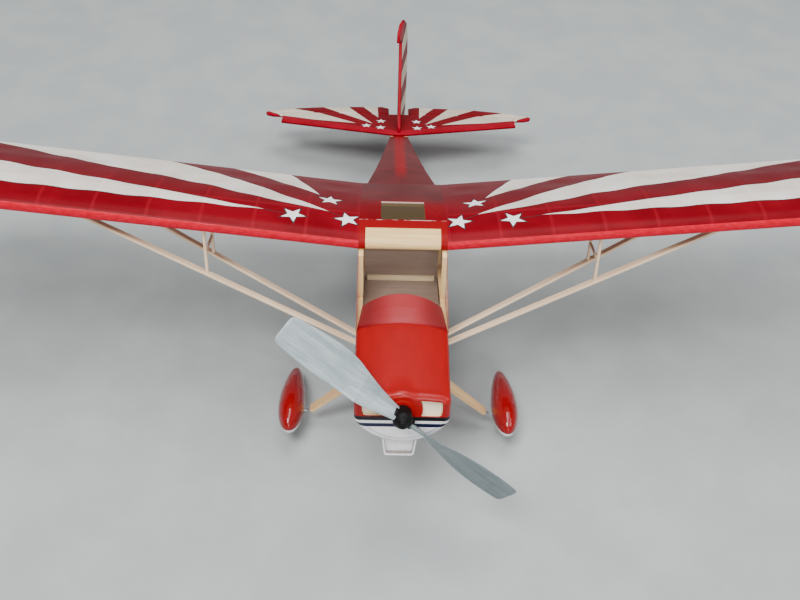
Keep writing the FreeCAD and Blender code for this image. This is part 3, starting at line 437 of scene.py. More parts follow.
# its last colour is the painted sheen over the rear of the wing chord
RED_FILM = film("red_film", (112, 1, 16), (126, 3, 21), (150, 20, 36), (98, 26, 33))
RED_FLAT = film("red_tail_film", (108, 1, 13), (120, 2, 17), (146, 18, 32))
EDGE_RED = film("red_edge_film", (138, 0, 22), (154, 1, 30), (184, 26, 52))
PALE_FILM = film("pale_ray_film", (216, 206, 196), (232, 226, 218), (240, 228, 214), rough=0.4)
# Darker, beiger copy of the pale film for the tail: partly the film's translucency, partly painted shade.
PALE_TAIL_SHADED = film("pale_tail_film_shaded", (194, 182, 164), (210, 199, 182), (222, 208, 190), rough=0.4)
STAR_WHITE = film("star_white_film", (244, 243, 244), (252, 252, 252), (250, 246, 244), rough=0.35)
OUTLINE = rough_plastic("black_outline_film", "red_film", (20, 14, 16), (44, 30, 34))
ROOF_FILM, EDGE_BAND_GLINTS, SIDE_FILM, COAMING = roof_film(), edge_band_with_glints(), livery(), coaming_finish()
COWL_RED = gloss("cowl_red", "red_gloss", (156, 0, 3), (148, 0, 3), 0.3, 0.07, 0.12)
COWL_WHITE = gloss("cowl_white", "white_gloss", (240, 238, 240), (226, 222, 228))
# Darker grey for the walls of the scoop's recess: painted shade.
SCOOP_WALL_SHADE = gloss("scoop_wall_shade", "white_gloss", (158, 146, 142), (140, 128, 124), 0.3, 0.1)
COWL_BLACK = gloss("cowl_black_stripe", "black_plastic", BLACK, (22, 18, 22), 0.3, 0.1)
COWL_BLUE = gloss("cowl_dark_stripe", "black_plastic", DARK_BLUE, (16, 20, 50), 0.3, 0.1)
# Gold-brown for the upper and outboard inlet walls: painted shadow.
INLET_WALL_SHADE = wood("inlet_wall_painted_shade", "balsa", (1, 0, 0), (128, 84, 34), (168, 122, 60))
INLET_FLOOR = wood("inlet_floor", "balsa", (1, 0, 0), (236, 212, 164), (252, 238, 206))
PANT_RED = gloss("pant_red", "red_gloss", (140, 0, 7), (128, 0, 6), 0.14, 0.45)
PANT_WHITE = gloss("pant_white", "white_gloss", (240, 236, 234), (222, 216, 214), 0.1, 0.8)
HUB_BLACK = rough_plastic("hub_black", "black_plastic", (5, 5, 5), (12, 12, 11), 0.4, 0.04, 0.16)
WIRE = metal("wire", "wire", (206, 206, 210), (150, 150, 154), 0.25)
RUBBER = rough_plastic("motor_rubber", "motor_rubber", (176, 146, 104), (206, 178, 134), 0.5, 0.1)
MAIN_WHEEL = wheel_finish("main_wheel", WHEEL_Y, -73, 8.5)

CARRIED = {
    "centre_front_sheet": BALSA_X, "centre_section_frame": BALSA_X, "cross_members": BALSA_X,
    "stabilizer_frame": BALSA_X, "elevator_frame": BALSA_X, "deck_stringer": BALSA_Y,
    "fin_frame": BALSA_Z, "rudder_frame": BALSA_Z, "cabin_formers": shaded_cabin_wood(),
    "nose_block": wood("nose_balsa", "balsa", (1, 0, 0), (240, 222, 184), (252, 244, 220)),
    "deck_covering": ROOF_FILM, "centre_section_covering": ROOF_FILM, "belly_covering": COWL_WHITE,
    "windscreen": clear_sheet("windscreen_sheet", (150, 120, 104), 0, 0.16, (190, 176, 168)),
    "cabin_windows": clear_sheet("window_sheet", (216, 208, 200), 0.02, 0.5), "skylight": skylight_shade_sheet(),
    "nose_plug": plug_finish(), "prop_shaft": WIRE, "tail_wheel_wire": WIRE,
    "thrust_bearing": metal("brass", "brass", (226, 190, 110), (178, 138, 66), 0.25, (0, 1, 0)),
    "motor_peg": metal("peg_tube", "tube", (224, 224, 228), (178, 178, 182), 0.25),
    "tail_wheel": wheel_finish("tail_wheel", 452, -11, 4),
}
STRUT_WAY = {"front_strut": (208.5, 35, 89), "rear_strut": (208.5, 76, 82),
             "jury_struts": (0, 0.3, 1), "leg_fairing": (41.1, 1.9, -36.4)}
SOFTENED = {"centre_front_sheet": 0.4, "cross_members": 0.3, "cabin_formers": 0.2,
            "centre_section_frame": 0.3}
for side, sign in (("left_", 1), ("right_", -1)):
    SOFTENED.update({side + "front_strut": 0.5, side + "rear_strut": 0.5, side + "leg_fairing": 0.6})
    for part, (x, y, z) in STRUT_WAY.items():
        tones = ((222, 188, 152), (248, 222, 188))
        if part == "leg_fairing":
            tones = ((206, 160, 108), (234, 198, 146))
        CARRIED[side + part] = wood(side + part, "strut_wood", (sign * x, y, z), *tones)
    CARRIED.update({side + "gear_wire": WIRE, side + "wheel": MAIN_WHEEL, side + "side_frame": BALSA_Z,
                    side + "side_covering": SIDE_FILM, side + "wing_ribs": BALSA_Y,
                    side + "wing_spars": BALSA_X, side + "wing_edges": RED_FLAT})


def dress(node, finish):
    """Gives a carried CAD node its finish, and rounds the edges of those that show them."""
    shown = NODES[node]
    shown.data.materials.clear()
    shown.data.materials.append(finish.mat)
    if node in SOFTENED:
        weld = shown.modifiers.new("weld", "WELD")
        weld.merge_threshold = 1e-5
        bevel = shown.modifiers.new("soft_edges", "BEVEL")
        bevel.width = SOFTENED[node] * 0.001
        bevel.segments = 2
        bevel.angle_limit = radians(40)
        bevel.harden_normals = True


# Mesh tools
def add_object(name, data):
    made = bpy.data.objects.new(name, data)
    bpy.context.scene.collection.objects.link(made)
    return made


def cut(bm, corner, normal, near=1e-5):
    """Cuts every face along the plane through a corner."""
    everything = bm.verts[:] + bm.edges[:] + bm.faces[:]
    bmesh.ops.bisect_plane(bm, geom=everything, dist=near, plane_co=corner, plane_no=normal)


def circle(radius, count, cx=0, cy=0):
    turns = [2 * pi * k / count for k in range(count)]
    return [(cx + radius * cos(turn), cy + radius * sin(turn)) for turn in turns]


def absorb(bm, sheet):
    """Adds one bmesh to another and frees it."""
    mesh = bpy.data.meshes.new("sheet")
    sheet.to_mesh(mesh)
    sheet.free()
    bm.from_mesh(mesh)
    bpy.data.meshes.remove(mesh)


def settle(bm, move):
    """Moves every vertex and turns the faces outwards."""
    for vert in bm.verts:
        vert.co = move(*vert.co)
    bmesh.ops.recalc_face_normals(bm, faces=bm.faces)


def piece(name, bm, finishes, replaced, body="fuselage"):
    """Object from a bmesh in row-frame metres; face material numbers follow finishes, and tagged
    faces are shaded flat."""
    mesh = bpy.data.meshes.new(name)
    bm.normal_update()
    for face in bm.faces:
        face.smooth = not face.tag
    bm.to_mesh(mesh)
    bm.free()
    for finish in finishes:
        mesh.materials.append(finish.mat)
    made = add_object(name, mesh)
    if body:
        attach(made, body)
    if replaced:
        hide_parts(*replaced)
    return made


def grid(bm, rows, closed=False, material=0, flip=False):
    """Quads between rows of vertices; closed joins each row's ends."""
    made = []
    for here, onward in zip(rows, rows[1:]):
        for i in range(0 if closed else 1, len(here)):
            corners = list(dict.fromkeys((here[i - 1], here[i], onward[i], onward[i - 1])))
            if len(corners) > 2:
                face = bm.faces.new(corners[::-1] if flip else corners)
                face.material_index = material
                made.append(face)
    return made


def loft(bm, rows, closed=True, material=0):
    """Quads between rows of points; gives back their vertices."""
    rows = [[bm.verts.new(point) for point in row] for row in rows]
    grid(bm, rows, closed, material)
    return rows


RED, PALE, LINE, WHITE, BRIGHT = range(5)  # material numbers on a patterned sheet


def edges(outline):
    return zip(outline, outline[1:] + outline[:1])


def corners_of(outline):
    """Each corner of a closed outline between its neighbours, as vectors."""
    points = [Vector(point) for point in outline]
    return zip(points[-1:] + points[:-1], points, points[1:] + points[:1])


def offset_outline(points, distance):
    """Closed outline moved outwards, with mitred corners."""
    area = sum(p[0] * q[1] - q[0] * p[1] for p, q in edges(points))
    side = copysign(1, area) * distance
    moved = []
    for before, here, after in corners_of(points):
        a, b = (here - before).normalized(), (after - here).normalized()
        across = (a + b) / max(1 + a.dot(b), 0.25)
        moved.append((here.x + across.y * side, here.y - across.x * side))
    return moved


def inside(point, outline):
    found = False
    for (ax, ay), (bx, by) in edges(outline):
        if (ay > point[1]) != (by > point[1]) and point[0] < ax + (bx - ax) * (point[1] - ay) / (by - ay):
            found = not found
    return found


def score(bm, outline, margin=0.2):
    """Cuts a flat sheet along every edge of a closed outline."""
    for p, q in edges(outline):
        low = (min(p[0], q[0]) - margin, min(p[1], q[1]) - margin)
        high = (max(p[0], q[0]) + margin, max(p[1], q[1]) + margin)
        geometry = set()
        for face in bm.faces:
            xs, ys = [v.co.x for v in face.verts], [v.co.y for v in face.verts]
            if max(xs) > low[0] and min(xs) < high[0] and max(ys) > low[1] and min(ys) < high[1]:
                geometry.update((face, *face.edges, *face.verts))
        if dist(p, q) > 1e-6:
            bmesh.ops.bisect_plane(bm, geom=list(geometry), dist=1e-4, plane_co=(*p, 0),
                                   plane_no=(q[1] - p[1], p[0] - q[0], 0))


def star(x, y, reach, turn=0):
    """Five-pointed outline."""
    points = []
    for k in range(10):
        angle = radians(90 + 36 * k) + turn
        r = reach if k % 2 == 0 else reach * 0.42
        points.append((x + r * cos(angle), y + r * sin(angle)))
    return points


def paint(bm, shapes, band=-inf):
    """Scores the sheet with each (outline, border, fill, border fill) and colours its faces; those
    whose y is under band are bright."""
    bordered = []
    for outline, border, fill, edge_fill in shapes:
        if border > 0:
            wide = offset_outline(outline, border)
            score(bm, wide)
            bordered.append((wide, edge_fill))
        score(bm, outline)
        bordered.append((outline, fill))
    for face in bm.faces:
        at = face.calc_center_median()[:2]
        face.material_index = BRIGHT if at[1] < band else RED
        for outline, fill in bordered:
            if inside(at, outline):
                face.material_index = fill


# Wing film
def section_height(u):
    """Upper surface over the flat bottom, at the chord fraction u."""
    def thickness(v):
        return 0.2969 * sqrt(v) - 0.126 * v - 0.3516 * v**2 + 0.2843 * v**3 - 0.1015 * v**4
    u = min(max(u, 0), 1)
    return CHORD * (0.11 * thickness(u) / thickness(0.3) + 0.032 * (1 - u)**4) + u


def panel_to_row(s, c, h, side):
    y = c * cos(INCIDENCE) + h * sin(INCIDENCE)
    z = -c * sin(INCIDENCE) + h * cos(INCIDENCE)
    x = max(s * cos(DIHEDRAL) - z * sin(DIHEDRAL), 0)
    z = s * sin(DIHEDRAL) + z * cos(DIHEDRAL)
    return place(side * (CABIN_HALF + x), WING_LE_Y + y, WING_BOTTOM_Z + z)


def tip_share(s):
    return min(max((s - TIP_START) / TIP_CURVE, 0), 1)


def chord_reach(s):
    """Half of the chord that the rounded tip leaves at the span station s."""
    half = CHORD / 2 + 0.6 * smooth(0, 8, s - TIP_START)
    return half * sqrt(1 - tip_share(s)**(8 / 3))


def sag(s, c, depth):
    """How far the shrunk film pulls in between the ribs and the spars."""
    bay = ((s - RIB_AT) / RIB_PITCH) % 1
    if s > TIP_START - 2:
        return 0
    for near, far in ((7, SPARS[0]), (SPARS[0] + 3, SPARS[1]), (SPARS[1] + 3, CHORD - 14)):
        if near < c < far:
            return depth * sin(pi * bay)**2 * sin(pi * (c - near) / (far - near))
    return 0


def wing_heights(s, c):
    """Heights of the upper and lower film, which meet in a rounded edge all round."""
    out, into_tip = tip_share(s), smooth(0, 12, s - TIP_START)
    raw = section_height(c / CHORD) * (1 - 0.7 * out) + 0.98 * out
    nose = 3.55 * (1 - sqrt(max(1 - (1 - c / 3)**2.4, 0))) if c < 3 else 0
    meet = raw * (0.45 + 0.55 * (1 - into_tip) * (c < 40))
    reach = chord_reach(s)
    edge = max(reach - abs(c - CHORD / 2), 0)
    if s > TIP_START:
        ahead = (c - CHORD / 2) / (CHORD / 2)
        outer = TIP_START + TIP_CURVE * max(1 - ahead**2, 0)**0.375
        along = max(outer - s, 0)
        edge = edge * along / max(hypot(edge, along), 1e-6)
    width = 0.8 + 0.5 * smooth(0, 10, s - TIP_START)
    full = into_tip if c < 40 else 1
    bend = sqrt(1 - (1 - edge / width)**2) if edge < width else 1
    top = meet + (raw - meet) * bend
    low = meet * (1 - bend) * full + nose * (1 - full)
    return top - sag(s, c, 0.75), low + sag(s, c, 0.4)


CHORD_ROWS = [0, 0.06, 0.2, 0.5, 1, 1.8, 3, 5, 7, 9.5, 12.5, 16, 20, 23.5, 27, 30, 34, 39, 44, 50, 56,
              62, 66, 70, 73, 78, 84, 90, 94, 97, 102, 107, 109.6, 110.2, 110.6, 110.85, 111]


def wing_sheet(upper):
    """Flat grid over the wing plan in panel millimetres."""
    bm = bmesh.new()
    stations = [0, 1.6]
    while stations[-1] < TIP_START - 4:
        stations.append(stations[-1] + RIB_PITCH / 6)
    stations[-1] = TIP_START
    tip = [0.08, 0.17, 0.27, 0.38, 0.5, 0.62, 0.73, 0.83, 0.9, 0.95, 0.975, 0.99, 0.998]
    stations += [TIP_START + TIP_CURVE * share for share in tip]
    rows = [[bm.verts.new((s, CHORD / 2 + (c / CHORD * 2 - 1) * chord_reach(s), 0)) for c in CHORD_ROWS]
            for s in stations]
    rows.append([bm.verts.new((TIP_START + TIP_CURVE, CHORD / 2, 0))] * len(CHORD_ROWS))
    grid(bm, rows, flip=not upper)
    return bm


WING_RAYS = [[(65, 19.5), (105, 26), (175, 39), (249, 53), (356, 73.5), (356, 18.5), (150, 18.6)],
             [(22.5, 26.5), (71, 60), (112, 89), (149, 113), (288, 113), (263, 102), (219, 85),
              (180, 69.5), (143, 62), (105, 51.5), (65, 37)],
             [(30.3, 57.7), (56, 113), (101, 113)]]
WING_STARS = [(45.6, 17.2, 0.5), (9.3, 18.3, -0.27), (22.3, 49, 0.02)]
WING_TRACES = [[(50.5, 17.9), (65, 19.1), (65, 19.9), (50.5, 18.7)],
               [(13.5, 21.2), (22.5, 26.1), (22.4, 26.9), (13.2, 21.9)],
               [(24.6, 52.5), (30.5, 57.4), (30, 58), (24, 53.1)]]


def wing_panels():
    """Upper and lower film of both wings, patterned with rays and stars."""
    shapes = [(ray, 0.85, PALE, LINE) for ray in WING_RAYS]
    shapes += [(trace, 0, LINE, RED) for trace in WING_TRACES]
    shapes += [(star(x, y, 8.6, turn), 0.8, WHITE, LINE) for x, y, turn in WING_STARS]
    for upper in (True, False):
        flat = wing_sheet(upper)
        paint(flat, *((shapes, 1.2) if upper else ([], 2)))
        for side, name in ((1, "left_wing"), (-1, "right_wing")):
            bm = flat.copy()
            layer = bm.verts.layers.float_vector.new("panel")
            for vert in bm.verts:
                s, c, _ = vert[layer] = vert.co.copy()
                vert.co = panel_to_row(s, c, wing_heights(s, c)[0 if upper else 1], side)
            if side < 0:
                bmesh.ops.reverse_faces(bm, faces=bm.faces)
            label, replaced = ("_upper_film", [name + "_covering"]) if upper else ("_lower_film", [])
            piece(name + label, bm, [RED_FILM, PALE_FILM, OUTLINE, STAR_WHITE, EDGE_BAND_GLINTS], replaced)
        flat.free()


# Tail film
RIM = [(0.45, 0), (0.4, 0.6), (0.22, 1.1), (-0.1, 1.38), (-0.9, 1.5)]


def plate(bm, outline, to_row, shapes, back=False, step=9):
    """Film over a flat frame: a patterned face, a plain or patterned back, and a rounded rim."""
    for lift in (1, -1):
        sheet = bmesh.new()
        sheet.faces.new(loft(sheet, [[(x, y, lift * height) for x, y in offset_outline(outline, distance)]
                                     for distance, height in RIM])[-1])
        for way in ((1, 0, 0), (0, 1, 0)):
            along = [p[0] * way[0] + p[1] * way[1] for p in outline]
            at = min(along) + step / 2
            while at < max(along):
                cut(sheet, Vector(way) * at, way, 1e-4)
                at += step
        paint(sheet, shapes if lift > 0 or back else [])
        bmesh.ops.recalc_face_normals(sheet, faces=sheet.faces)
        if sum(face.normal.z * face.calc_area() for face in sheet.faces) * lift < 0:
            bmesh.ops.reverse_faces(sheet, faces=sheet.faces)
        for vert in sheet.verts:
            vert.co = to_row(*vert.co)
        absorb(bm, sheet)


TAIL_FINISHES = [RED_FLAT, PALE_TAIL_SHADED, OUTLINE, STAR_WHITE, EDGE_RED]
STAB_Z = 21.4
STAB_HALF_OUTLINE = [(0, 387), (10, 388.7), (113, 414.8), (113, 437.7), (0, 437.7)]
ELEVATOR_OUTLINE = [(10, 439.3), (113.8, 439.3), (113.8, 430), (123, 430.8), (129, 433.6), (130.2, 437.2),
                    (127, 440.4), (110, 447.1), (75, 454), (44, 456.6), (16, 458), (10, 454)]
TAIL_RAYS = [[(41.4, 412), (83, 419), (113, 427.5), (122, 434), (131, 441), (131, 452), (104, 452),
              (103, 447), (78, 437)],
             [(25.4, 412), (82, 459), (52, 459)],
             [(20, 428), (36.5, 459), (21, 459)]]
TAIL_STARS = [(31.1, 406.5), (17.2, 418.7), (17.5, 402.2)]
TAIL_BANDS = [[(-0.5, 380), (4, 380), (116, 409), (116, 434), (109, 425), (4, 395.5), (-0.5, 395.5)],
              [(112.6, 425), (136, 425), (136, 449), (112.6, 449)]]


def banded(bands, rays):
    """Bright bands with rays over them."""
    return [(band, 0, BRIGHT, RED) for band in bands] + [(ray, 0.45, PALE, LINE) for ray in rays]


def mirror_x(outline):
    return [(-x, y) for x, y in reversed(outline)]


def to_stabilizer(x, y, z):
    return place(x, y, STAB_Z + z)


def tail_film(name, body, *plates):
    """One piece of film from one or more plates."""
    bm = bmesh.new()
    for values in plates:
        plate(bm, *values)
    piece(name + "_film", bm, TAIL_FINISHES, [name + "_covering"], body)


def tail_surfaces():
    left = banded(TAIL_BANDS, TAIL_RAYS) + [(star(x, y, 5), 0.4, WHITE, LINE) for x, y in TAIL_STARS]
    right = [(mirror_x(outline), *fills) for outline, *fills in left]
    whole = STAB_HALF_OUTLINE[:-1] + mirror_x(STAB_HALF_OUTLINE[1:-1])
    tail_film("stabilizer", "fuselage", (whole, to_stabilizer, left + right))
    tail_film("elevator", "elevator", (ELEVATOR_OUTLINE, to_stabilizer, left),
              (mirror_x(ELEVATOR_OUTLINE), to_stabilizer, right))

    fin = [(391, 22.9), (435, 93), (446, 93), (446, 22.9)]
    rays = [[(404, 24), (446, 60), (446, 44), (422, 24)], [(400, 26), (446, 92), (446, 76)]]
    shapes = banded([[(385, 20), (394.2, 20), (440.6, 94), (430, 96)]], rays)
    tail_film("fin", "fuselage", (fin, lambda y, z, x: place(x, y, z), shapes, True))

    rudder = [(447.6, 1.5), (447.6, 94), (437, 94), (438.6, 102.4), (445.5, 108.6), (457, 110), (466, 105),
              (471, 93), (473, 70), (473, 40), (470.5, 18), (465, 6), (457, 1.5)]
    rays = [[(448, 60), (474, 76), (474, 58), (448, 44)], [(448, 90), (470, 108), (474, 92), (448, 74)],
            [(448, 28), (474, 42), (474, 26), (448, 16)]]
    c, s = cos(RUDDER_TURN), sin(RUDDER_TURN)

    def to_rudder(y, z, x):
        back = y - HINGE_Y
        return place(x * c - back * s, HINGE_Y + x * s + back * c, z)

    shapes = banded([[(430, 94), (452, 94), (452, 113), (430, 113)]], rays)
    tail_film("rudder", "rudder", (rudder, to_rudder, shapes, True))


# Cowl
COWL_ROWS = [(0, 28.2, 11.4, 13.6, -5.6, -21.6), (4.5, 28.7, 12.2, 14.6, -6.6, -22.2),
             (30, 29.2, 16.4, 20.6, -17, -26.4), (58, 29.5, 21.4, 27.2, -28.5, -31)]
INLET_DEPTH = 5
BOSS_R = 12.3


def bow(half, level, peak, count):
    """Points on the arc from (half, level) through (0, peak) to (-half, level), but the last; it
    runs the other way when the peak is the lower."""
    radius = (half**2 + (peak - level)**2) / (2 * (peak - level))
    spread = asin(half / abs(radius))
    turns = [spread * (1 - 2 * i / count) for i in range(count)]
    return [(radius * sin(turn), peak - radius + radius * cos(turn)) for turn in turns]


def upright(x, first, last, count):
    return [(x, first + (last - first) * i / count) for i in range(count)]


def cowl_values(y):
    for low, high in zip(COWL_ROWS, COWL_ROWS[1:]):
        if y <= high[0]:
            t = (y - low[0]) / (high[0] - low[0])
            return [a + (b - a) * t for a, b in zip(low[1:], high[1:])]


def boss_top(x):
    """Height of the round boss over the thrust line, falling away beside it."""
    return THRUST_Z + BOSS_R * (sqrt(1 - (x / BOSS_R)**2) if abs(x) < BOSS_R else -(abs(x) - BOSS_R))


def rounded_max(a, b, blend):
    mix = max(blend - abs(a - b), 0) / blend
    return max(a, b) + mix * mix * blend / 4


def cowl_loop(y, inset):
    """Closed section of the cowl with softened corners, moved inwards by inset."""
    half, corner, crown, shoulder, bottom = cowl_values(y)
    loop = bow(half, corner, crown, 44) + upright(-half, corner, shoulder, 30)
    loop += bow(half, shoulder, bottom, 44) + upright(half, shoulder, corner, 30)
    for _ in range(int(14 - 11 * smooth(8, 58, y))):
        loop = [((a + 2 * b + c) / 4)[:] for a, b, c in corners_of(loop)]
    sunk = 4 * smooth(6, 26, y)
    loop = [(x, rounded_max(z, boss_top(x) - sunk, 2.4) if z > 0 else z) for x, z in loop]
    moved = []
    for before, here, after in corners_of(loop):
        tangent = (after - before).normalized()
        deep = inset * (1 + 0.5 * smooth(-3, -16, here.y) * (inset > 0))
        moved.append((here.x - tangent.y * deep, here.y + tangent.x * deep))
    return moved


def inlet_outline(side, spread):
    """Rounded inlet whose inner edge follows the boss; spread moves it outwards."""
    right, top, low, corner = 24, 10.4, -1.2, 2.6
    points = []
    for cx, cy, start in ((right - corner, low + corner * 0.7, -90), (right - corner, top - corner, 0)):
        rise = corner * 0.7 if start < 0 else corner
        for k in range(7):
            angle = radians(start + 15 * k)
            points.append((cx + corner * cos(angle), cy + rise * sin(angle)))
    first, last = (asin((z - THRUST_Z) / BOSS_R) for z in (top, low))
    for k in range(9):
        angle = first + (last - first) * k / 8
        points.append((BOSS_R * cos(angle), THRUST_Z + BOSS_R * sin(angle)))
    moved = offset_outline(points, spread)
    return moved if side > 0 else mirror_x(moved)


def cowl():
    """Cowl shell, face, boss and inlet walls, drawn as (x, z, y)."""
    bm = bmesh.new()
    front = [(0, 2.5), (0.1, 1.85), (0.4, 1.15), (0.9, 0.55), (1.6, 0.05), (2.6, -0.3), (3.8, -0.25),
             *((y, 0) for y in (5.4, 8, 12, 18, 25, 33, 42, 50, 57)), (57.9, 0.1), (58, 0.5)]
    rows = [[bm.verts.new((x, z, y)) for x, z in cowl_loop(y, inset)] for y, inset in front]
    grid(bm, rows, closed=True)
    holes = [inlet_outline(1, 0.5), inlet_outline(-1, 0.5), circle(6.6, 36, 0, THRUST_Z)]
    flat = bmesh.new()
    flat.faces.new([flat.verts.new(v.co) for v in rows[0]])
    for hole in holes:
        score(flat, hole)
    gone = [f for f in flat.faces if any(inside(f.calc_center_median()[:2], hole) for hole in holes)]
    bmesh.ops.delete(flat, geom=gone, context="FACES")
    absorb(bm, flat)
    bmesh.ops.remove_doubles(bm, verts=bm.verts, dist=0.001)
    for side in (1, -1):
        loops = []
        for spread, y in ((0.5, 0), (0.22, 0.08), (0.03, 0.32), (0, 0.8), (0, INLET_DEPTH)):
            loops.append([bm.verts.new((x, z, y)) for x, z in inlet_outline(side, spread)])
        grid(bm, loops[:4], closed=True, flip=side > 0)
        # upper and outboard walls take the painted shadow; the lower walls take the cream wood
        for wall in grid(bm, loops[3:], closed=True, material=4, flip=side > 0):
            if wall.calc_center_median().y < -0.7:
                wall.material_index = 5
    profile = [(6.3, 5), (6.3, 0.3), (6.4, 0.08), (6.6, 0)]
    loft(bm, [[(x, z, y) for x, z in circle(radius, 72, 0, THRUST_Z)] for radius, y in profile])
    for line in STRIPES + (STRIPES[0] + 0.35,):  # and one cut just above them
        cut(bm, (0, line, 0), (0, 1, -STRIPE_SLOPE))
    for face in bm.faces:
        face.tag = all(abs(vert.co.z) < 1e-4 for vert in face.verts)
        if face.material_index == 0:
            centre = face.calc_center_median()
            height = centre.y - STRIPE_SLOPE * centre.z
            below = sum(height < line for line in STRIPES)
            face.material_index = (0, 1, 2, 3, 2)[below]
    for vert in bm.verts:
        x, z, y = vert.co
        vert.co = place(x, y, z)
    bmesh.ops.reverse_faces(bm, faces=bm.faces)
    finishes = [COWL_RED, COWL_BLACK, COWL_WHITE, COWL_BLUE, INLET_WALL_SHADE, INLET_FLOOR]
    piece("cowl_shell", bm, finishes, ["cowl"])


def rounded_mouth(half_top, half_low, top, low, corner):
    """Trapezium outline with rounded lower corners, in (x, z)."""
    points = [(half_top, top)]
    for k in range(6):
        angle = radians(-18 * k)
        points.append((half_low - corner + corner * cos(angle), low + corner + corner * sin(angle)))
    return points + [(-x, z) for x, z in reversed(points)]


def scoop():
    """Box scoop under the nose: thin rim, recessed panel, fairing back into the belly."""
    bm = bmesh.new()
    outer = [(3.4, 0.35), (3.25, 0.1), (3.3, 0)]
    rows = [[(x, y, z) for x, z in rounded_mouth(11.2 - t, 9.3 - t, -16.5, -34.6 + t, 1.8)]
            for y, t in outer[::-1]]
    for y, low in ((5, -34.6), (10, -34.4), (16, -33.9), (24, -31), (34, -25.6)):
        rows.append([(x, y, z) for x, z in rounded_mouth(11.2, 9.3, -16.5, low, 1.8)])
    loft(bm, rows)
    inner = [(3.3, 0.35), (3.25, 0.8), (3.5, 1.1), (6.4, 1.25), (6.4, 1.3)]
    rows = [[(x, y, z) for x, z in rounded_mouth(11.2 - t, 9.3 - t, -16.5 - t, -34.6 + t, 1.4)]
            for y, t in inner]
    loft(bm, rows[:3])
    # the recess walls take the darker grey, which is painted shade
    loft(bm, rows[2:], material=1)
    bm.faces.new([bm.verts.new((x, 6.3, z)) for x, z in rounded_mouth(10, 8.1, -17.7, -33.4, 1.4)])
    aside = -1.1
    settle(bm, lambda x, y, z: place(x + aside, y, z))
    piece("scoop_shell", bm, [COWL_WHITE, SCOOP_WALL_SHADE], ["cowl_scoop"])


def arch_row(y, half, side, crown):
    return [(x, y, z) for x, z in bow(half, side, crown, 32) + [(-half, side)]]


COAMING_ROWS = [(57.6, 29, 20.9, 26.7), (63, 28.4, 22, 28.9), (70, 27.4, 23.2, 31.4),
                (78, 26.4, 24.2, 33.6), (80.9, 26.05, 24.4, 34.4), (81.5, 26, 24.3, 34.3),
                (81.7, 25.9, 24, 33.9), (81.4, 25.8, 23.6, 33.5), (70, 27.2, 22.6, 30.8)]


def coaming():
    """Curved deck under the windscreen, from the cowl back to the dash, with a rolled rear edge."""
    bm = bmesh.new()
    loft(bm, [arch_row(*row) for row in COAMING_ROWS], closed=False)
    settle(bm, place)
    piece("coaming_shell", bm, [COAMING], ["dash_coaming"])


# Wheel pants
PANT_ROWS = [(-29, 0.02), (-28.7, 1.8), (-28, 3.3), (-27, 4.7), (-25, 6.5), (-22, 8.2), (-18, 9.8),
             (-14, 10.9), (-9, 11.7), (-4, 12), (2, 11.9), (8, 11.5), (15, 10.5), (22, 9.2),
             (28, 7.7), (34, 5.8), (38, 4), (40.2, 2.3), (41, 0.02)]


def pant(side, name):
    """Streamlined spat, red over white, open below for the wheel."""
    bm = bmesh.new()
    centre = side * HALF_TRACK
    loft(bm, [[(centre + 0.78 * x, WHEEL_Y + along, PANT_Z + z) for x, z in circle(tall, 40)]
              for along, tall in PANT_ROWS])
    red_low, white_top, rise = -69.2, -69.8, 0.06
    for line in (red_low, white_top):
        cut(bm, (0, WHEEL_Y, line), (0, rise, 1))
    half_wide, half_long, opening_top = 4.2, 15.2, -64
    for way in (-1, 1):
        cut(bm, (centre + way * half_wide, 0, 0), (1, 0, 0))
        cut(bm, (0, WHEEL_Y + way * half_long, 0), (0, 1, 0))
    gone = []
    for face in bm.faces:
        at = face.calc_center_median()
        height = at.z + rise * (at.y - WHEEL_Y)
        face.material_index = 0 if height > red_low else (2 if height > white_top else 1)
        if at.z < -70 and abs(at.x - centre) < half_wide and abs(at.y - WHEEL_Y) < half_long:
            gone.append(face)
    bmesh.ops.delete(bm, geom=gone, context="FACES")
    rim = [edge for edge in bm.edges if edge.is_boundary and edge.calc_length() > 0.05
           and abs(edge.verts[0].co.y - WHEEL_Y) < 16 and edge.verts[0].co.z < -69]
    for made in bmesh.ops.extrude_edge_only(bm, edges=rim)["geom"]:
        if isinstance(made, bmesh.types.BMVert):
            made.co.z = opening_top
        elif isinstance(made, bmesh.types.BMFace):
            made.material_index = 1
    settle(bm, place)
    piece(name + "_pant_shell", bm, [PANT_RED, PANT_WHITE, COAMING], [name + "_wheel_pant"])


# Propeller
PROP_Y, PROP_PITCH = -7.3, 200
PROP_TURN = radians(40.8)
BLADE_ROWS = [(5.4, 9.6, 3.2, 0.2), (9, 10.8, 3, 0.2), (14, 13, 2.6, 0.3), (20, 15.2, 2.2, 0.5),
              (26, 17.3, 2, 0.9), (33, 19.4, 1.8, 1.6), (41, 21.2, 1.65, 2.4), (50, 22.6, 1.5, 2.9),
              (58, 22.8, 1.4, 3), (65, 22.4, 1.3, 2.9), (72, 21.6, 1.25, 2.8), (78, 20.6, 1.2, 2.7),
              (84, 19.4, 1.1, 2.6), (88, 18.4, 1, 2.6), (89.8, 17.4, 0.95, 2.6), (90.8, 15.8, 0.85, 2.6),
              (91.3, 13.4, 0.7, 2.6), (91.5, 10.6, 0.5, 2.6)]


def turned_by_rest(x, y, z):
    """A point drawn with the blades level, at the angle the propeller rests at."""
    c, s = cos(PROP_TURN), sin(PROP_TURN)
    return place(x * c + z * s, y, THRUST_Z - x * s + z * c)


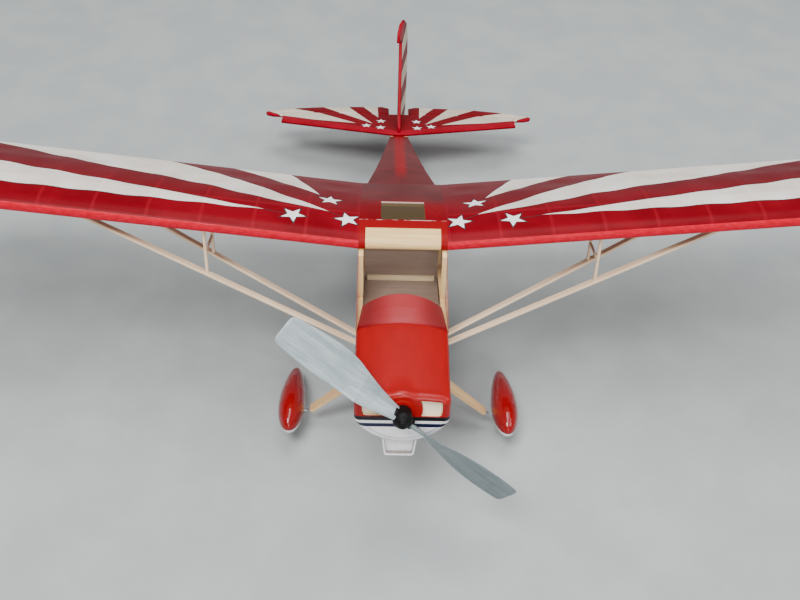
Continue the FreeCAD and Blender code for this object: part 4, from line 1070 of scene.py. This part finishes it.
def blade(side, name, *greys):
    finish = blade_grey(name + "_grey", (cos(PROP_TURN), 0, -sin(PROP_TURN)), *greys)
    bm = bmesh.new()
    rows = []
    for radius, chord, thick, swept in BLADE_ROWS:
        pitch = min(atan(PROP_PITCH / (2 * pi * radius)), radians(62))
        along = Vector((0, sin(pitch), -cos(pitch)))
        normal = Vector((0, -cos(pitch), -sin(pitch)))
        trailing = (chord / 2 + swept) * sin(pitch)
        clear_of_cowl = 6.6
        ahead = max(trailing - clear_of_cowl, 0) * (1 - smooth(30, 46, radius))
        ring = []
        for across, out in circle(1, 28):
            lift = abs(out)**0.8 * (0.7 if out > 0 else -0.3) * thick
            point = Vector((radius, PROP_Y - ahead, 0)) + normal * lift
            point += along * (across * chord / 2 + swept)
            ring.append((point.x * side, point.y, point.z * side))
        rows.append(ring)
    rows = loft(bm, rows)
    bm.faces.new(rows[-1])
    bm.faces.new(rows[0][::-1])
    settle(bm, turned_by_rest)
    piece(name, bm, [finish], ["propeller_blades"], "propeller")


def hub():
    """Moulded hub: barrel, round nose, ring nub and the sockets that hold the blades."""
    bm = bmesh.new()
    profile = [(0.65, -2.4), (2.9, -2.4), (3.1, -1.8), (5.1, -1.7), (5.5, -1.9), (5.7, -2.4), (5.8, -4.5),
               (5.9, -6.5), (6, -8.5), (5.9, -9.6), (5.5, -10.6), (4.9, -11.5), (4.1, -12.1), (3.4, -12.6),
               (3, -13.2), (2.9, -13.9), (2.6, -14.4), (2.1, -14.8), (1.5, -15), (0.65, -15), (0.65, -2.4)]
    loft(bm, [[(x, y, z) for x, z in circle(radius, 40)] for radius, y in profile])
    socket = ((3, 3.4), (6.2, 3.3), (7, 3.2), (7.4, 2.9), (7.5, 2.5), (7.5, 0.05))
    for side in (-1, 1):
        loft(bm, [[(side * x, y, z) for y, z in circle(radius, 30, PROP_Y)] for x, radius in socket])
    settle(bm, turned_by_rest)
    piece("hub_moulding", bm, [HUB_BLACK], ["propeller_hub"], "propeller")


# Rubber motor
def rubber(name, node, start_y, end_y):
    """Two braided runs of rubber that twist round each other between two stations along the thrust line."""
    bm = bmesh.new()
    steps, twists = 60, 2
    for start in (0, pi):
        rows = []
        for i in range(steps + 1):
            t = i / steps
            y = start_y + (end_y - start_y) * t
            turn = start + 2 * pi * twists * t
            spread = 2.6 if y < 30 or y > 334 else 2  # wider round the hook and the peg
            cx, cz = spread * cos(turn), THRUST_Z + spread * sin(turn)
            rows.append([(x, y, z) for x, z in circle(0.95, 10, cx, cz)])
        rows = loft(bm, rows)
        bm.faces.new(rows[0])
        bm.faces.new(rows[-1])
    settle(bm, place)
    made = piece(name, bm, [RUBBER], [node], None)
    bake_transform(made)


# Scene
def stage():
    """Pale floor, soft lights and the camera at the photographed angle."""
    mesh = bpy.data.meshes.new("floor")
    mesh.from_pydata([(-9, -9, 0), (9, -9, 0), (9, 9, 0), (-9, 9, 0)], [], [(0, 1, 2, 3)])
    floor = add_object("floor", mesh)
    f = Finish("pale_floor", None, roughness=0.85)
    speck = f.noise(f.coords(), 0.02, 3)
    f.colour(f.mix(f.step(speck, 0.35, 0.7), (166, 171, 171), (174, 179, 178)))
    mesh.materials.append(f.mat)

    world = bpy.data.worlds.new("room")
    world.use_nodes = True
    sky = world.node_tree.nodes["Background"].inputs
    sky[0].default_value, sky[1].default_value = (0.9, 0.92, 0.95, 1), 0.32
    bpy.context.scene.world = world
    for name, at, size, power in (("key", (-0.45, -1, 1.9), 0.7, 40), ("fill", (1.3, -0.5, 1.5), 1, 14),
                                  ("top", (0.1, 0.3, 2.4), 1.2, 30), ("front", (0.15, -1.5, 0.8), 0.5, 9)):
        lamp = bpy.data.lights.new(name, "AREA")
        lamp.size, lamp.energy = size, power
        light = add_object(name, lamp)
        light.location = at
        light.rotation_euler = (Vector((0, 0, 0.1)) - Vector(at)).to_track_quat("-Z", "Y").to_euler()

    lens = bpy.data.cameras.new("camera")
    lens.lens, lens.sensor_width = 40.88, 36
    camera = add_object("camera", lens)
    right_up_back = ((0.99959404, -0.00223012, 0.02840381), (-0.01926598, 0.68154316, 0.73152426),
                     (-0.02098981, -0.73177452, 0.68122351))
    turn = Matrix(right_up_back).transposed().to_4x4()
    camera.matrix_world = Matrix.Translation(Vector((-0.013944, -0.57865, 0.520845))) @ turn
    bpy.context.scene.camera = camera


for node, finish in CARRIED.items():
    dress(node, finish)
wing_panels()
tail_surfaces()
cowl()
scoop()
coaming()
pant(1, "left")
pant(-1, "right")
# One grey moulding: the raised blade's lighter greys are painted light and the lowered blade's darker greys
# painted shade.
blade(-1, "lit_raised_blade", (142, 156, 162), (184, 196, 198), (126, 146, 158))
blade(1, "shaded_lowered_blade", (92, 104, 108), (128, 140, 142), (80, 92, 98))
hub()
rubber("rubber_rear_run", "rubber_motor_rear", 340, 182)
rubber("rubber_front_run", "rubber_motor_front", 182, 22)
stage()
